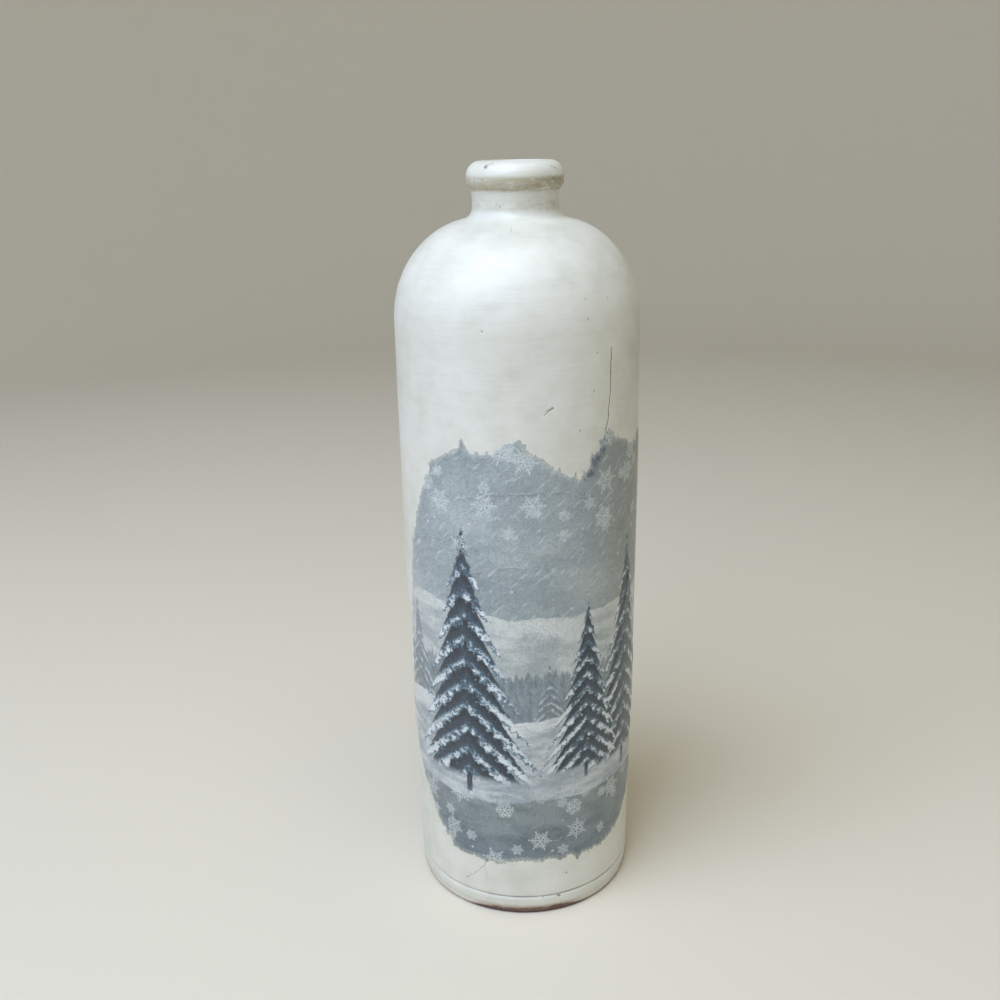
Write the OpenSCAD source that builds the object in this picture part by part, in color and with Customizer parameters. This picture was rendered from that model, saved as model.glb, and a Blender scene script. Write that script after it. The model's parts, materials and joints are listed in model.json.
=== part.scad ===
// A tall stoneware bottle with a short corked neck, painted cream outside,
// with a torn paper print pasted round its front.
// The fired clay is built up from the potter's own pieces, which meet face to face:
// a foot plate, a wall tube, a shoulder dome, a neck and a lip ring.
// Three layers lie on the clay: a glaze lining, a coat of chalk paint and the paper.
// Millimetres, +Z up. The foot stands on z = 0 and the bottle's axis is the Z axis.
// The front, where the print is centred, faces -Y.

/* [Body] */
// Height from the foot to the top of the lip
bottle_h = 279; // [265:1:300]
// Largest diameter of the painted body
body_d = 88.2; // [86:0.2:92]
// Height at which the body is widest
widest_z = 185; // [165:1:200]
// Diameter of the painted wall just above the foot
foot_d = 84.9; // [82:0.1:86]
// Thickness of the thrown wall
wall_t = 6.5; // [5:0.1:7.5]
// Thickness of the clay floor
floor_t = 11; // [9.5:0.5:14]

/* [Shoulder] */
// Height of the shoulder's curve, from the wall up to its crown
shoulder_rise = 34.8; // [32:0.2:38]
// Diameter of the level ring at the shoulder's crown, which the neck covers
crown_d = 25.3; // [24:0.1:26]
// Radius of the hollow where the neck meets the shoulder
neck_hollow = 4; // [3:0.2:5]

/* [Neck and lip] */
// Height of the lip's top above the shoulder's crown
neck_h = 18.8; // [18:0.2:24]
// Outside diameter of the neck just above the shoulder
neck_foot_d = 30.4; // [29.6:0.1:31]
// Outside diameter of the neck just under the lip
neck_top_d = 29.6; // [29:0.1:30.4]
// Outside diameter of the rolled lip
lip_d = 34; // [33:0.2:36]
// Radius of the lip's rounded upper edge
lip_top_round = 5; // [4.4:0.1:5.2]
// Radius of the lip's rounded underside
lip_under_round = 2.9; // [2.7:0.1:3.2]
// Depth of the lip's plain band between those two rounds
lip_band = 1.8; // [1.2:0.1:2.4]
// Diameter of the glazed bore that takes the cork
bore_d = 20.5; // [19:0.1:21]
// Radius of the mouth's inner edge
mouth_round = 1; // [0.8:0.05:1.2]

/* [Foot] */
// Height of the foot bead, up to the groove that marks the plate's seam
foot_h = 8; // [7:0.5:10]
// Depth of that groove
groove_depth = 0.85; // [0.7:0.05:1]
// Radius of the worn lower edge that the bottle stands on
foot_round = 1.4; // [1.2:0.1:2]
// Height above the table at which the paint begins
bare_foot_h = 3; // [2.2:0.1:4.4]

/* [Layers] */
// Thickness of the chalk paint
paint_t = 0.4; // [0.3:0.05:0.5]
// Thickness of the fired glaze inside
glaze_t = 0.4; // [0.3:0.05:0.5]
// Thickness of the pasted paper with its varnish
paper_t = 0.2; // [0.15:0.05:0.3]

/* [Hidden] */
$fn = 96;
wall_steps = 16;
curve_steps = 18;
edge_steps = 6;
clay_brown = "#8a5a44";
clay_buff = "#b08a68";
glaze_brown = "#6b4a35";
paint_cream = "#e2e0d2";
print_blue_grey = "#7f929e";

// Radii and heights that follow from the driving dimensions
foot_r = foot_d / 2;
body_r = body_d / 2;
crown_r = crown_d / 2;
bore_r = bore_d / 2;
lip_r = lip_d / 2;
clay_bore_r = bore_r + glaze_t;
bead_round = 1.2;
bead_drop = 1.3;
bead_turn_a = 80;
bead_top_z = foot_h - bead_drop;
groove_r = foot_r - groove_depth;
wall_edge = 0.7;
wall_z = foot_h + wall_edge;
shoulder_z = bottle_h - neck_h - shoulder_rise;
shoulder_run = wall_r(shoulder_z) - crown_r;
lip_top_z = bottle_h - lip_top_round;
lip_under_z = lip_top_z - lip_band;
lip_under_r = lip_r - lip_under_round;
lip_seam_inset = 0.7;
lip_seam_r = lip_under_r - lip_seam_inset;
seam_drop = 4;
neck_seam_a = 75;
dome_edge = 2;
pooled_glaze = 5;

// The wall swells from the foot to its widest height and draws in a little above it
function wall_r(z) = body_r - (body_r - foot_r) * pow((z - widest_z) / (widest_z - wall_z), 2);

// Points along an arc, as [radius, height] pairs
function arc(centre, r, from, to, steps) =
    [for (i = [0:steps]) let (a = from + (to - from) * i / steps) centre + r * [cos(a), sin(a)]];

// Points up the wall between two heights, drawn t inside the painted surface
function wall_line(t, low, high) =
    [for (i = [0:wall_steps]) let (z = low + (high - low) * i / wall_steps) [wall_r(z) - t, z]];

// Points round the shoulder between two angles, 0 at the wall and 90 at the crown
function shoulder_line(t, from, to) =
    [for (i = [0:curve_steps]) let (a = from + (to - from) * i / curve_steps)
        [crown_r + (shoulder_run - t) * cos(a), shoulder_z + (shoulder_rise - t) * sin(a)]];

// The hollow under the neck touches both the neck and the shoulder
hollow_r = neck_foot_d / 2 + neck_hollow;
hollow_a = acos((hollow_r - crown_r) / (shoulder_run + neck_hollow));
hollow_z = shoulder_z + (shoulder_rise + neck_hollow) * sin(hollow_a);

// The rounded edge inside, where the dome's ceiling turns up into the bore
dome_edge_r = clay_bore_r + dome_edge;
dome_a = acos((dome_edge_r - crown_r) / (shoulder_run - wall_t + dome_edge));
dome_edge_z = shoulder_z + (shoulder_rise - wall_t + dome_edge) * sin(dome_a);

// The bare clay's worn lower edge, level with the ground where it meets the flat underside
function foot_edge() = arc([foot_r - paint_t - foot_round, foot_round], foot_round, -90, 0, edge_steps);

// Outlines of the outside, each drawn t inside the painted surface
function bead_top(t) = arc([foot_r - bead_round, bead_top_z], bead_round - t, 0, bead_turn_a, edge_steps);
function groove(t) = [[groove_r - t, foot_h]];
function wall_foot(t) = arc([foot_r - wall_edge, wall_z], wall_edge - t, -90, 0, edge_steps);
function wall_side(t) = wall_line(t, wall_z, shoulder_z);
function shoulder_side(t) = shoulder_line(t, 0, hollow_a);
function neck_hollow_side(t) =
    arc([hollow_r, hollow_z], neck_hollow + t, hollow_a + 180, 180, curve_steps);
function under_a(t) = -acos((neck_top_d / 2 - t - lip_under_r) / (lip_under_round - t));
function lip_under(t) = arc([lip_under_r, lip_under_z], lip_under_round - t, under_a(t), 0, curve_steps);
function seam_a(t) = acos((lip_seam_r - lip_r + lip_top_round) / (lip_top_round - t));
function lip_shoulder(t) =
    arc([lip_r - lip_top_round, lip_top_z], lip_top_round - t, 0, seam_a(t), curve_steps);
function lip_crown(t) =
    arc([lip_r - lip_top_round, lip_top_z], lip_top_round - t, seam_a(t), 90, edge_steps);
function mouth(t) =
    arc([bore_r + mouth_round, bottle_h - mouth_round], mouth_round - t, 90, 180, edge_steps);

// Outlines of the inside, each drawn g further in than the bare clay
function floor_line(g) = [[0, floor_t + g]];
function inner_wall(g, low, high) = wall_line(wall_t + g, low, high);
function inner_dome(g, from, to) = shoulder_line(wall_t + g, from, to);
function inner_edge(g) = arc([dome_edge_r, dome_edge_z], dome_edge + g, dome_a + 180, 180, edge_steps);
function bore_top(g) = [[clay_bore_r - g, bottle_h - mouth_round]];

// A list of points in the opposite order
function back(points) = [for (i = [len(points) - 1:-1:0]) points[i]];

module turned(points) {
    rotate_extrude()
        polygon(points);
}

// The flat plate that closes the bottom, with a spigot that fits inside the wall tube
module foot_plate() {
    spigot_r = wall_r(floor_t) - wall_t;
    color(clay_brown)
        turned(concat(
            [[0, 0]],
            foot_edge(),
            bead_top(paint_t),
            groove(paint_t),
            [[spigot_r, foot_h], [spigot_r, floor_t], [0, floor_t]]
        ));
}

// The thrown tube, whose top is bevelled for the dome
module wall_tube() {
    spigot_r = wall_r(floor_t) - wall_t;
    color(clay_buff)
        turned(concat(
            [[spigot_r, foot_h]],
            groove(paint_t),
            wall_foot(paint_t),
            wall_side(paint_t),
            back(inner_wall(0, floor_t, shoulder_z - seam_drop))
        ));
}

// The dome that draws the body in, seated on the tube's bevel
module shoulder_dome() {
    color(clay_brown)
        turned(concat(
            shoulder_side(paint_t),
            back(inner_dome(0, 0, neck_seam_a)),
            [[wall_r(shoulder_z - seam_drop) - wall_t, shoulder_z - seam_drop]]
        ));
}

// The neck tube, flared at its foot and stepped in where the lip ring goes round it
module neck() {
    ledge_z = lip_under(paint_t)[0].y;
    color(clay_buff)
        turned(concat(
            neck_hollow_side(paint_t),
            [[neck_top_d / 2 - paint_t, ledge_z], [lip_seam_r, ledge_z]],
            lip_crown(paint_t),
            mouth(paint_t),
            bore_top(0),
            back(inner_edge(0)),
            back(inner_dome(0, neck_seam_a, dome_a))
        ));
}

// The rolled ring round the top of the neck
module lip_ring() {
    color(clay_brown)
        turned(concat(
            [[lip_seam_r, lip_under(paint_t)[0].y]],
            lip_under(paint_t),
            lip_shoulder(paint_t)
        ));
}

// The inside, from the floor to the mouth, drawn g further in than the bare clay
function lining(g) = concat(
    g > 0
        ? concat(floor_line(g),
                 arc([wall_r(floor_t) - wall_t - g - pooled_glaze, floor_t + g + pooled_glaze],
                     pooled_glaze, -90, 0, edge_steps))
        : concat(floor_line(0), [[wall_r(floor_t) - wall_t, floor_t]]),
    inner_wall(g, floor_t + g + pooled_glaze, shoulder_z - seam_drop),
    inner_dome(g, 0, dome_a),
    inner_edge(g),
    bore_top(g)
);

// The glaze that seals the clay, pooled a little in the corner of the floor
module glaze_lining() {
    color(glaze_brown)
        turned(concat(lining(0), back(lining(glaze_t))));
}

// The whole painted outline, from the bare foot up over the lip into the mouth
function painted(t) = concat(
    [[foot_r - t, bare_foot_h]],
    bead_top(t),
    groove(t),
    wall_foot(t),
    wall_side(t),
    shoulder_side(t),
    neck_hollow_side(t),
    lip_under(t),
    lip_shoulder(t),
    lip_crown(t),
    mouth(t)
);

module paint_coat() {
    color(paint_cream)
        turned(concat(painted(0), back(painted(paint_t))));
}

// The torn edge of the paper: degrees round from the front towards +X, and height
torn_edge = [
    [-48, 175], [-42, 181], [-28, 188], [-17, 185], [0, 191], [7, 186], [14, 181], [28, 175], [34, 182],
    [43, 191], [53, 187], [66, 182], [78, 186], [90, 179], [98, 166], [101, 146], [104, 122], [101, 96],
    [103, 72], [96, 52], [84, 42], [72, 35], [60, 28], [48, 24], [30, 24], [12, 25], [-5, 24], [-22, 24],
    [-37, 24], [-44, 29], [-51, 36], [-60, 45], [-70, 57], [-78, 75], [-73, 95], [-70, 113], [-66, 131],
    [-62, 148], [-53, 165]
];
// Short tears along that edge: how many between two points, how deep they go, and the turns that
// scatter them, from corner to corner and from tear to tear
tears = 3;
tear_depth = 0.9;
corner_turn = 137;
tear_turn = 211;

// One torn point, between corner k and the next, moved in or out by a steady but uneven rule
function torn_point(k, j) =
    let (
        a = torn_edge[k],
        b = torn_edge[(k + 1) % len(torn_edge)],
        run = b - a,
        across = [-run.y, run.x] / norm(run),
        wander = tear_depth * sin(corner_turn * k + tear_turn * j)
    )
    a + run * j / tears + across * wander;

torn_outline = [for (k = [0:len(torn_edge) - 1]) for (j = [0:tears - 1]) torn_point(k, j)];

// The print goes further round than one flat cut can reach, so its edge is torn in equal sectors
print_from = -84;
print_to = 108;
print_low = 18;
print_high = 205;
sectors = 4;
sector_a = (print_to - print_from) / sectors;
true_a = 40;
overlap = 0.5;
past_paper = 10;

// How far across a sector's flat cut an angle falls: true near the sector, then steady
function across(a) =
    abs(a) <= true_a
        ? body_r * sin(a)
        : sign(a) * body_r * (sin(true_a) + (abs(a) - true_a) * PI / 180 * cos(true_a));

// What is torn away in one sector: all of it that lies outside the torn outline
module torn_away(k) {
    mid = print_from + sector_a * (k + 0.5);
    reach = body_r * sin(sector_a / 2) + overlap;
    rotate([90, 0, mid])
        linear_extrude(height = body_r + past_paper)
            difference() {
                translate([-reach, 0])
                    square([2 * reach, bottle_h]);
                polygon([for (p = torn_outline) [across(p.x - mid), p.y]]);
            }
}

// The pasted paper, which follows the wall and is torn all round its edge
module paper_print() {
    band = [for (p = wall_side(0)) if (p.y > print_low && p.y < print_high) p];
    color(print_blue_grey)
        difference() {
            rotate([0, 0, print_from - 90])
                rotate_extrude(angle = print_to - print_from)
                    polygon(concat([for (p = band) p + [paper_t, 0]], back(band)));
            for (k = [0:sectors - 1])
                torn_away(k);
        }
}

foot_plate();
wall_tube();
shoulder_dome();
neck();
lip_ring();
glaze_lining();
paint_coat();
paper_print();
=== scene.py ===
"""The looks of a tall stoneware bottle: worn cream paint, a bare clay foot, a glazed bore and a torn print.

Sizes in the classes are millimetres and become metres where a mesh is made. Vertices nearer each other than
SAME are one. Angles go round the bottle in degrees, from its front, -Y, towards +X. The outline follows the
same rules and sizes as the solid model, so every piece made here lies where the solids do.
"""

from __future__ import annotations

import json
import logging
import math
import random
from collections.abc import Callable, Sequence
from dataclasses import dataclass
from enum import Enum

import bpy
import numpy as np
from mathutils import Matrix, Vector, noise
from mathutils.kdtree import KDTree

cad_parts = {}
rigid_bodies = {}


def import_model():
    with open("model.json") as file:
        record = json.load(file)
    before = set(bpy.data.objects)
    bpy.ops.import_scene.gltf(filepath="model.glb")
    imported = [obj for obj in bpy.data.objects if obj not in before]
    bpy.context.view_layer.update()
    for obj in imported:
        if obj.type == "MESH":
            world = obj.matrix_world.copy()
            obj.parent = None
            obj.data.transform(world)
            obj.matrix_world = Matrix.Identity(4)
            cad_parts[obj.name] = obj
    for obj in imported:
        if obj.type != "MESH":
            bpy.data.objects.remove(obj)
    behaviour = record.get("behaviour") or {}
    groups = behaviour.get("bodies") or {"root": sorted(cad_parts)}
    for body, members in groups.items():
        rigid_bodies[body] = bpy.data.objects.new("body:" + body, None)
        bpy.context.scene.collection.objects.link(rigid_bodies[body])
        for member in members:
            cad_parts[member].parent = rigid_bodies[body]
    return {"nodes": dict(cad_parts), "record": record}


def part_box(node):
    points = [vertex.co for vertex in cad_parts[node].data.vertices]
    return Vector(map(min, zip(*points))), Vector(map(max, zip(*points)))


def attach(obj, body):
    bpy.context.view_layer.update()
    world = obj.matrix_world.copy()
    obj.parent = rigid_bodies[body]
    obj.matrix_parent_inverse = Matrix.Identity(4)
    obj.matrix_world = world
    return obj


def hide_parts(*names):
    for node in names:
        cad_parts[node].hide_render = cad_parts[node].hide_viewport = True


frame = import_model()

LOG = logging.getLogger("bottle")
MM = 0.001
SAME = 0.001
BODY = "root"
SKIN = "skin"

Point = tuple[float, float]
Trio = tuple[float, float, float]


class Slot(Enum):
    """The record's material slots."""

    CLAY = "bare_clay"
    GLAZE = "glaze"
    PAINT = "chalk_paint"
    PAPER = "printed_paper"


class MarkKind(Enum):
    """What a mark in the paint looks like, and the attribute that carries it to the material."""

    CRACK = "crack"
    PIT = "pit"
    CHIP = "chip"


def line_gap(places: np.ndarray, line: Sequence[Sequence[float]]) -> np.ndarray:
    """How far each place is from a line through the given points, in two or three dimensions."""
    corners = [np.array(point, float) for point in line]
    best = np.full(len(places), np.inf)
    for start, stop in zip(corners, corners[1:] or corners):
        run = stop - start
        share = np.clip((places - start) @ run / max(run @ run, 1e-9), 0, 1)
        best = np.minimum(best, np.linalg.norm(places - start - share[:, None] * run, axis=1))
    return best


def steady_noise(
    places: np.ndarray, span: float | Sequence[float], start: Sequence[float] = (0, 0, 0)
) -> np.ndarray:
    """Smooth noise from -1 to 1 at each place, the same on every run.

    Args:
        places: Points in millimetres, one a row.
        span: How wide its patches are, as one number or as one for each direction.
        start: The noise's own place at the origin.

    Returns:
        One number a place.
    """
    return np.array([noise.noise(Vector(point)) for point in places / np.array(span) + start])


def arc(centre: Point, radius: float, start: float, stop: float, spacing: float = 0.9) -> list[Point]:
    """Points along an arc, as (radius, height) pairs.

    Args:
        centre: Centre of the arc.
        radius: Its radius.
        start: Angle of the first point in degrees.
        stop: Angle of the last point.
        spacing: Longest step between two points; an arc has at least six steps.

    Returns:
        The points, both ends included.
    """
    steps = max(6, math.ceil(abs(math.radians(stop - start)) * radius / spacing))
    angles = [math.radians(start + (stop - start) * i / steps) for i in range(steps + 1)]
    return [(centre[0] + radius * math.cos(a), centre[1] + radius * math.sin(a)) for a in angles]


def filled(points: Sequence[Point], spacing: float) -> list[Point]:
    """Adds points to the long steps of an outline, so that none is longer than the spacing."""
    out = [points[0]]
    for (r0, z0), (r1, z1) in zip(points, points[1:]):
        steps = max(1, math.ceil(math.hypot(r1 - r0, z1 - z0) / spacing))
        out += [(r0 + (r1 - r0) * i / steps, z0 + (z1 - z0) * i / steps) for i in range(1, steps + 1)]
    return out


@dataclass(frozen=True)
class BottleForm:
    """Sizes of the turned bottle, from which its whole outline follows."""

    bottle_h: float
    body_d: float
    foot_d: float
    lip_d: float
    bore_d: float
    paint_t: float = 0.4
    wall_t: float = 6.5
    floor_t: float = 11.0
    widest_z: float = 185.0
    shoulder_rise: float = 34.8
    crown_d: float = 25.3
    neck_hollow: float = 4.0
    neck_h: float = 18.8
    neck_foot_d: float = 30.4
    neck_top_d: float = 29.6
    lip_top_round: float = 5.0
    lip_under_round: float = 2.9
    lip_band: float = 1.8
    mouth_round: float = 1.0
    foot_h: float = 8.0
    groove_depth: float = 0.85
    foot_round: float = 1.4
    bare_foot_h: float = 3.0
    bead_round: float = 1.2
    bead_drop: float = 1.3
    bead_turn_a: float = 80.0
    wall_edge: float = 0.7

    @classmethod
    def from_frame(cls, record: dict) -> BottleForm:
        """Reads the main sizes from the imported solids, and leaves the rest as the solid model has them."""
        coat, plate, ring = (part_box(node)[1] / MM for node in ("paint_coat", "foot_plate", "lip_ring"))
        mouth = next(m for m in record["mounts"] if m["name"] == "mouth")
        return cls(
            bottle_h=round(coat.z, 1),
            body_d=round(2 * coat.x, 1),
            foot_d=round(2 * (plate.x + cls.paint_t), 1),
            lip_d=round(2 * (ring.x + cls.paint_t), 1),
            bore_d=2 * mouth["dims"]["r_mm"],
        )

    @property
    def foot_r(self) -> float:
        """Radius of the painted foot."""
        return self.foot_d / 2

    @property
    def shoulder_z(self) -> float:
        """Height at which the wall ends and the shoulder begins."""
        return self.bottle_h - self.neck_h - self.shoulder_rise

    @property
    def wall_z(self) -> float:
        """Height at which the wall begins, above the groove."""
        return self.foot_h + self.wall_edge

    @property
    def shoulder_run(self) -> float:
        """How far the shoulder's curve reaches outwards from the crown's ring."""
        return self.wall_radius(self.shoulder_z) - self.crown_d / 2

    def wall_radius(self, z: float) -> float:
        """Outside radius of the painted wall at a height."""
        body_r = self.body_d / 2
        share = (z - self.widest_z) / (self.widest_z - self.wall_z)
        return body_r - (body_r - self.foot_r) * share * share

    def wall_line(self, t: float, low: float, high: float, spacing: float) -> list[Point]:
        """Points up the wall between two heights, drawn t inside the painted surface."""
        steps = math.ceil((high - low) / spacing)
        heights = [low + (high - low) * i / steps for i in range(steps + 1)]
        return [(self.wall_radius(z) - t, z) for z in heights]

    def shoulder_line(self, t: float, spacing: float) -> list[Point]:
        """Points round the shoulder, from the wall to the hollow under the neck."""
        hollow_a, _ = self.hollow_place()
        steps = math.ceil(hollow_a * self.shoulder_rise / spacing)
        angles = [hollow_a * i / steps for i in range(steps + 1)]
        return [
            (
                self.crown_d / 2 + (self.shoulder_run - t) * math.cos(a),
                self.shoulder_z + (self.shoulder_rise - t) * math.sin(a),
            )
            for a in angles
        ]

    def hollow_place(self) -> tuple[float, Point]:
        """Where the hollow under the neck touches the shoulder, in radians, and the hollow's centre."""
        hollow_r = self.neck_foot_d / 2 + self.neck_hollow
        angle = math.acos((hollow_r - self.crown_d / 2) / (self.shoulder_run + self.neck_hollow))
        height = self.shoulder_z + (self.shoulder_rise + self.neck_hollow) * math.sin(angle)
        return angle, (hollow_r, height)

    def bead_line(self, t: float) -> list[Point]:
        """The foot's bead and the bottom of the groove over it, drawn t inside the painted surface."""
        bead = (self.foot_r - self.bead_round, self.foot_h - self.bead_drop)
        groove = (self.foot_r - self.groove_depth - t, self.foot_h)
        return arc(bead, self.bead_round - t, 0, self.bead_turn_a, 0.35) + [groove]

    def wall_foot_line(self, t: float) -> list[Point]:
        """The rounded foot of the wall over the groove, drawn t inside the painted surface."""
        return arc((self.foot_r - self.wall_edge, self.wall_z), self.wall_edge - t, -90, 0, 0.2)

    def neck_line(self, t: float) -> list[Point]:
        """The hollow, the neck, the lip and the mouth, drawn t inside the painted surface."""
        hollow_a, hollow = self.hollow_place()
        lip_top = (self.lip_d / 2 - self.lip_top_round, self.bottle_h - self.lip_top_round)
        under = (self.lip_d / 2 - self.lip_under_round, lip_top[1] - self.lip_band)
        under_a = math.acos((self.neck_top_d / 2 - t - under[0]) / (self.lip_under_round - t))
        mouth = (self.bore_d / 2 + self.mouth_round, self.bottle_h - self.mouth_round)
        return (
            arc(hollow, self.neck_hollow + t, math.degrees(hollow_a) + 180, 180)
            + arc(under, self.lip_under_round - t, -math.degrees(under_a), 0)
            + arc(lip_top, self.lip_top_round - t, 0, 90)
            + arc(mouth, self.mouth_round - t, 90, 180, 0.3)
        )

    def painted(self, t: float, spacing: float) -> list[Point]:
        """The whole painted outline, from the bare foot up over the lip into the mouth."""
        points = [(self.foot_r - t, self.bare_foot_h)] + self.bead_line(t) + self.wall_foot_line(t)
        points += self.wall_line(t, self.wall_z, self.shoulder_z, spacing)[1:]
        points += self.shoulder_line(t, spacing) + self.neck_line(t)
        return filled(points, spacing)

    def reach(self, z: np.ndarray) -> np.ndarray:
        """Radius of the painted wall, shoulder or upper lip at each height."""
        lift = np.clip((z - self.shoulder_z) / self.shoulder_rise, 0, 1)
        shoulder = self.crown_d / 2 + self.shoulder_run * np.sqrt(1 - lift * lift)
        over = np.clip(z - self.bottle_h + self.lip_top_round, 0, self.lip_top_round)
        lip = self.lip_d / 2 - self.lip_top_round + np.sqrt(self.lip_top_round**2 - over * over)
        on_lip = z > self.bottle_h - self.lip_top_round - self.lip_band
        return np.where(z < self.shoulder_z, self.wall_radius(z), np.where(on_lip, lip, shoulder))

    def place(self, angle: float, z: float) -> np.ndarray:
        """A point of the painted surface, from an angle round the bottle and a height."""
        radius = float(self.reach(np.array(z)))
        turn = math.radians(angle)
        return np.array((radius * math.sin(turn), -radius * math.cos(turn), z))


@dataclass(frozen=True)
class HandThrown:
    """How far the thrown wall strays from its true outline."""

    sway: float = 0.17
    sway_span: float = 62.0
    dimple: float = 0.07
    dimple_span: float = 17.0
    dimple_start: Trio = (7.0, 3.0, 1.0)
    ring: float = 0.035
    ring_pitch: float = 5.6
    ring_tilt: float = 0.6
    ring_tilt_span: float = 30.0
    ring_fade_span: float = 24.0

    def stray(self, places: np.ndarray) -> np.ndarray:
        """Outward stray at each place on the wall, with both in millimetres."""
        broad = steady_noise(places, self.sway_span) * self.sway
        small = steady_noise(places, self.dimple_span, self.dimple_start) * self.dimple
        turns = places[:, 2] / self.ring_pitch + self.ring_tilt * steady_noise(places, self.ring_tilt_span)
        fade = 0.5 + steady_noise(places * (0, 0, 1), self.ring_fade_span)
        return broad + small + np.sin(math.tau * turns) * self.ring * fade


@dataclass(frozen=True)
class Mark:
    """A crack, pit or chip in the paint, along a path of (angle, height) points."""

    kind: MarkKind
    path: tuple[Point, ...]
    half_width: float
    depth: float
    wander: float = 0.0
    strength: float = 1.0

    def gap(self, places: np.ndarray, form: BottleForm) -> np.ndarray:
        """How far each place on the bottle is from the mark's own line."""
        return line_gap(places, [form.place(a, z) for a, z in filled(self.path, 1.5)])

    def nearness(self, places: np.ndarray, shifts: np.ndarray, form: BottleForm) -> np.ndarray:
        """How near each place is to the mark: its strength on its line, and 0 from its half width outwards.

        Args:
            places: Points of the surface in millimetres, one a row.
            shifts: A steady, uneven shift for each point, up to about one millimetre each way.
            form: The bottle that the mark is on.

        Returns:
            One number a point.
        """
        gap = self.gap(places + shifts * self.wander, form)
        return self.strength * np.clip(1 - gap / self.half_width, 0, 1)


class Bench:
    """Hand work with Blender's operators. Each call starts and ends in object mode."""

    @staticmethod
    def clear() -> None:
        """Leaves object mode's selection empty."""
        bpy.ops.object.select_all(action="DESELECT")

    @staticmethod
    def edit(piece: bpy.types.Object, *steps: Callable[[], object]) -> None:
        """Runs mesh operators on a piece in edit mode."""
        Bench.clear()
        bpy.context.view_layer.objects.active = piece
        piece.select_set(True)
        bpy.ops.object.mode_set(mode="EDIT")
        for step in steps:
            step()
        bpy.ops.object.mode_set(mode="OBJECT")

    @staticmethod
    def pick_faces(piece: bpy.types.Object, chosen: np.ndarray) -> None:
        """Selects these faces of a piece and no others."""
        mesh = piece.data
        bpy.context.tool_settings.mesh_select_mode = (False, False, True)
        mesh.vertices.foreach_set("select", np.zeros(len(mesh.vertices), bool))
        mesh.edges.foreach_set("select", np.zeros(len(mesh.edges), bool))
        mesh.polygons.foreach_set("select", chosen)

    @staticmethod
    def read(parts: bpy.types.bpy_prop_collection, name: str, kind: type, wide: int = 1) -> np.ndarray:
        """Reads one value of each of a mesh's parts.

        Args:
            parts: Its vertices, edges, faces, their corners, or an attribute's data.
            name: The value's name.
            kind: The numbers' type.
            wide: How many numbers the value has.

        Returns:
            The values, one a row where they have more than one number.
        """
        values = np.empty(len(parts) * wide, kind)
        parts.foreach_get(name, values)
        return values.reshape(-1, wide) if wide > 1 else values

    @staticmethod
    def places(piece: bpy.types.Object) -> np.ndarray:
        """A piece's vertices in millimetres, one a row."""
        return Bench.read(piece.data.vertices, "co", float, 3) / MM

    @staticmethod
    def put(piece: bpy.types.Object, places: np.ndarray) -> None:
        """Moves a piece's vertices to places given in millimetres."""
        piece.data.vertices.foreach_set("co", (places * MM).astype(np.float32).ravel())
        piece.data.update()

    @staticmethod
    def face_centres(piece: bpy.types.Object) -> np.ndarray:
        """The middle of each face in millimetres, one a row."""
        return Bench.read(piece.data.polygons, "center", float, 3) / MM

    @staticmethod
    def corners(piece: bpy.types.Object) -> tuple[np.ndarray, np.ndarray]:
        """The vertex at each corner of each face, and where each face's corners start."""
        mesh = piece.data
        return Bench.read(mesh.loops, "vertex_index", int), Bench.read(mesh.polygons, "loop_start", int)

    @staticmethod
    def rim(piece: bpy.types.Object) -> np.ndarray:
        """The two vertices of each edge that has one face only, one edge a row."""
        edges = piece.data.edges
        uses = np.bincount(Bench.read(piece.data.loops, "edge_index", int), minlength=len(edges))
        return Bench.read(edges, "vertices", int, 2)[uses == 1]

    @staticmethod
    def drop(piece: bpy.types.Object, chosen: np.ndarray) -> None:
        """Deletes these faces, with the edges and vertices that only they have."""
        Bench.pick_faces(piece, chosen)
        Bench.edit(piece, lambda: bpy.ops.mesh.delete(type="FACE"))

    @staticmethod
    def keep_linked(piece: bpy.types.Object, chosen: np.ndarray) -> None:
        """Deletes every face that isn't linked to the chosen ones."""
        Bench.pick_faces(piece, chosen)
        Bench.edit(
            piece,
            lambda: bpy.ops.mesh.select_linked(),
            lambda: bpy.ops.mesh.select_all(action="INVERT"),
            lambda: bpy.ops.mesh.delete(type="FACE"),
        )

    @staticmethod
    def normals(piece: bpy.types.Object) -> np.ndarray:
        """The outward direction at each vertex, one a row."""
        return Bench.read(piece.data.vertex_normals, "vector", np.float32, 3).astype(float)

    @staticmethod
    def note(piece: bpy.types.Object, name: str, values: np.ndarray) -> None:
        """Stores one number a vertex as an attribute that a material can read."""
        layer = piece.data.attributes.new(name, "FLOAT", "POINT")
        layer.data.foreach_set("value", values.astype(np.float32))

    @staticmethod
    def noted(piece: bpy.types.Object, name: str) -> np.ndarray:
        """Reads a number a vertex back from its attribute."""
        return Bench.read(piece.data.attributes[name].data, "value", np.float32).astype(float)

    @staticmethod
    def turned(
        name: str, outline: Sequence[Point], steps: int, skin: Sequence[float] = ()
    ) -> bpy.types.Object:
        """Draws an outline point by point and spins it round the bottle's axis.

        Args:
            name: Name of the new piece.
            outline: (radius, height) points; a closed outline ends where it starts.
            steps: Faces round the axis.
            skin: For each point, 1 where relief may move it and 0 where it may not.

        Returns:
            The turned piece, with its doubles merged and its faces outwards.
        """
        Bench.clear()
        bpy.ops.mesh.primitive_plane_add(size=1)
        piece = bpy.context.object
        piece.name = piece.data.name = name
        bpy.context.tool_settings.mesh_select_mode = (True, False, False)
        first = (outline[0][0] * MM, 0, outline[0][1] * MM)
        moves = [((r1 - r0) * MM, 0, (z1 - z0) * MM) for (r0, z0), (r1, z1) in zip(outline, outline[1:])]

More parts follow.
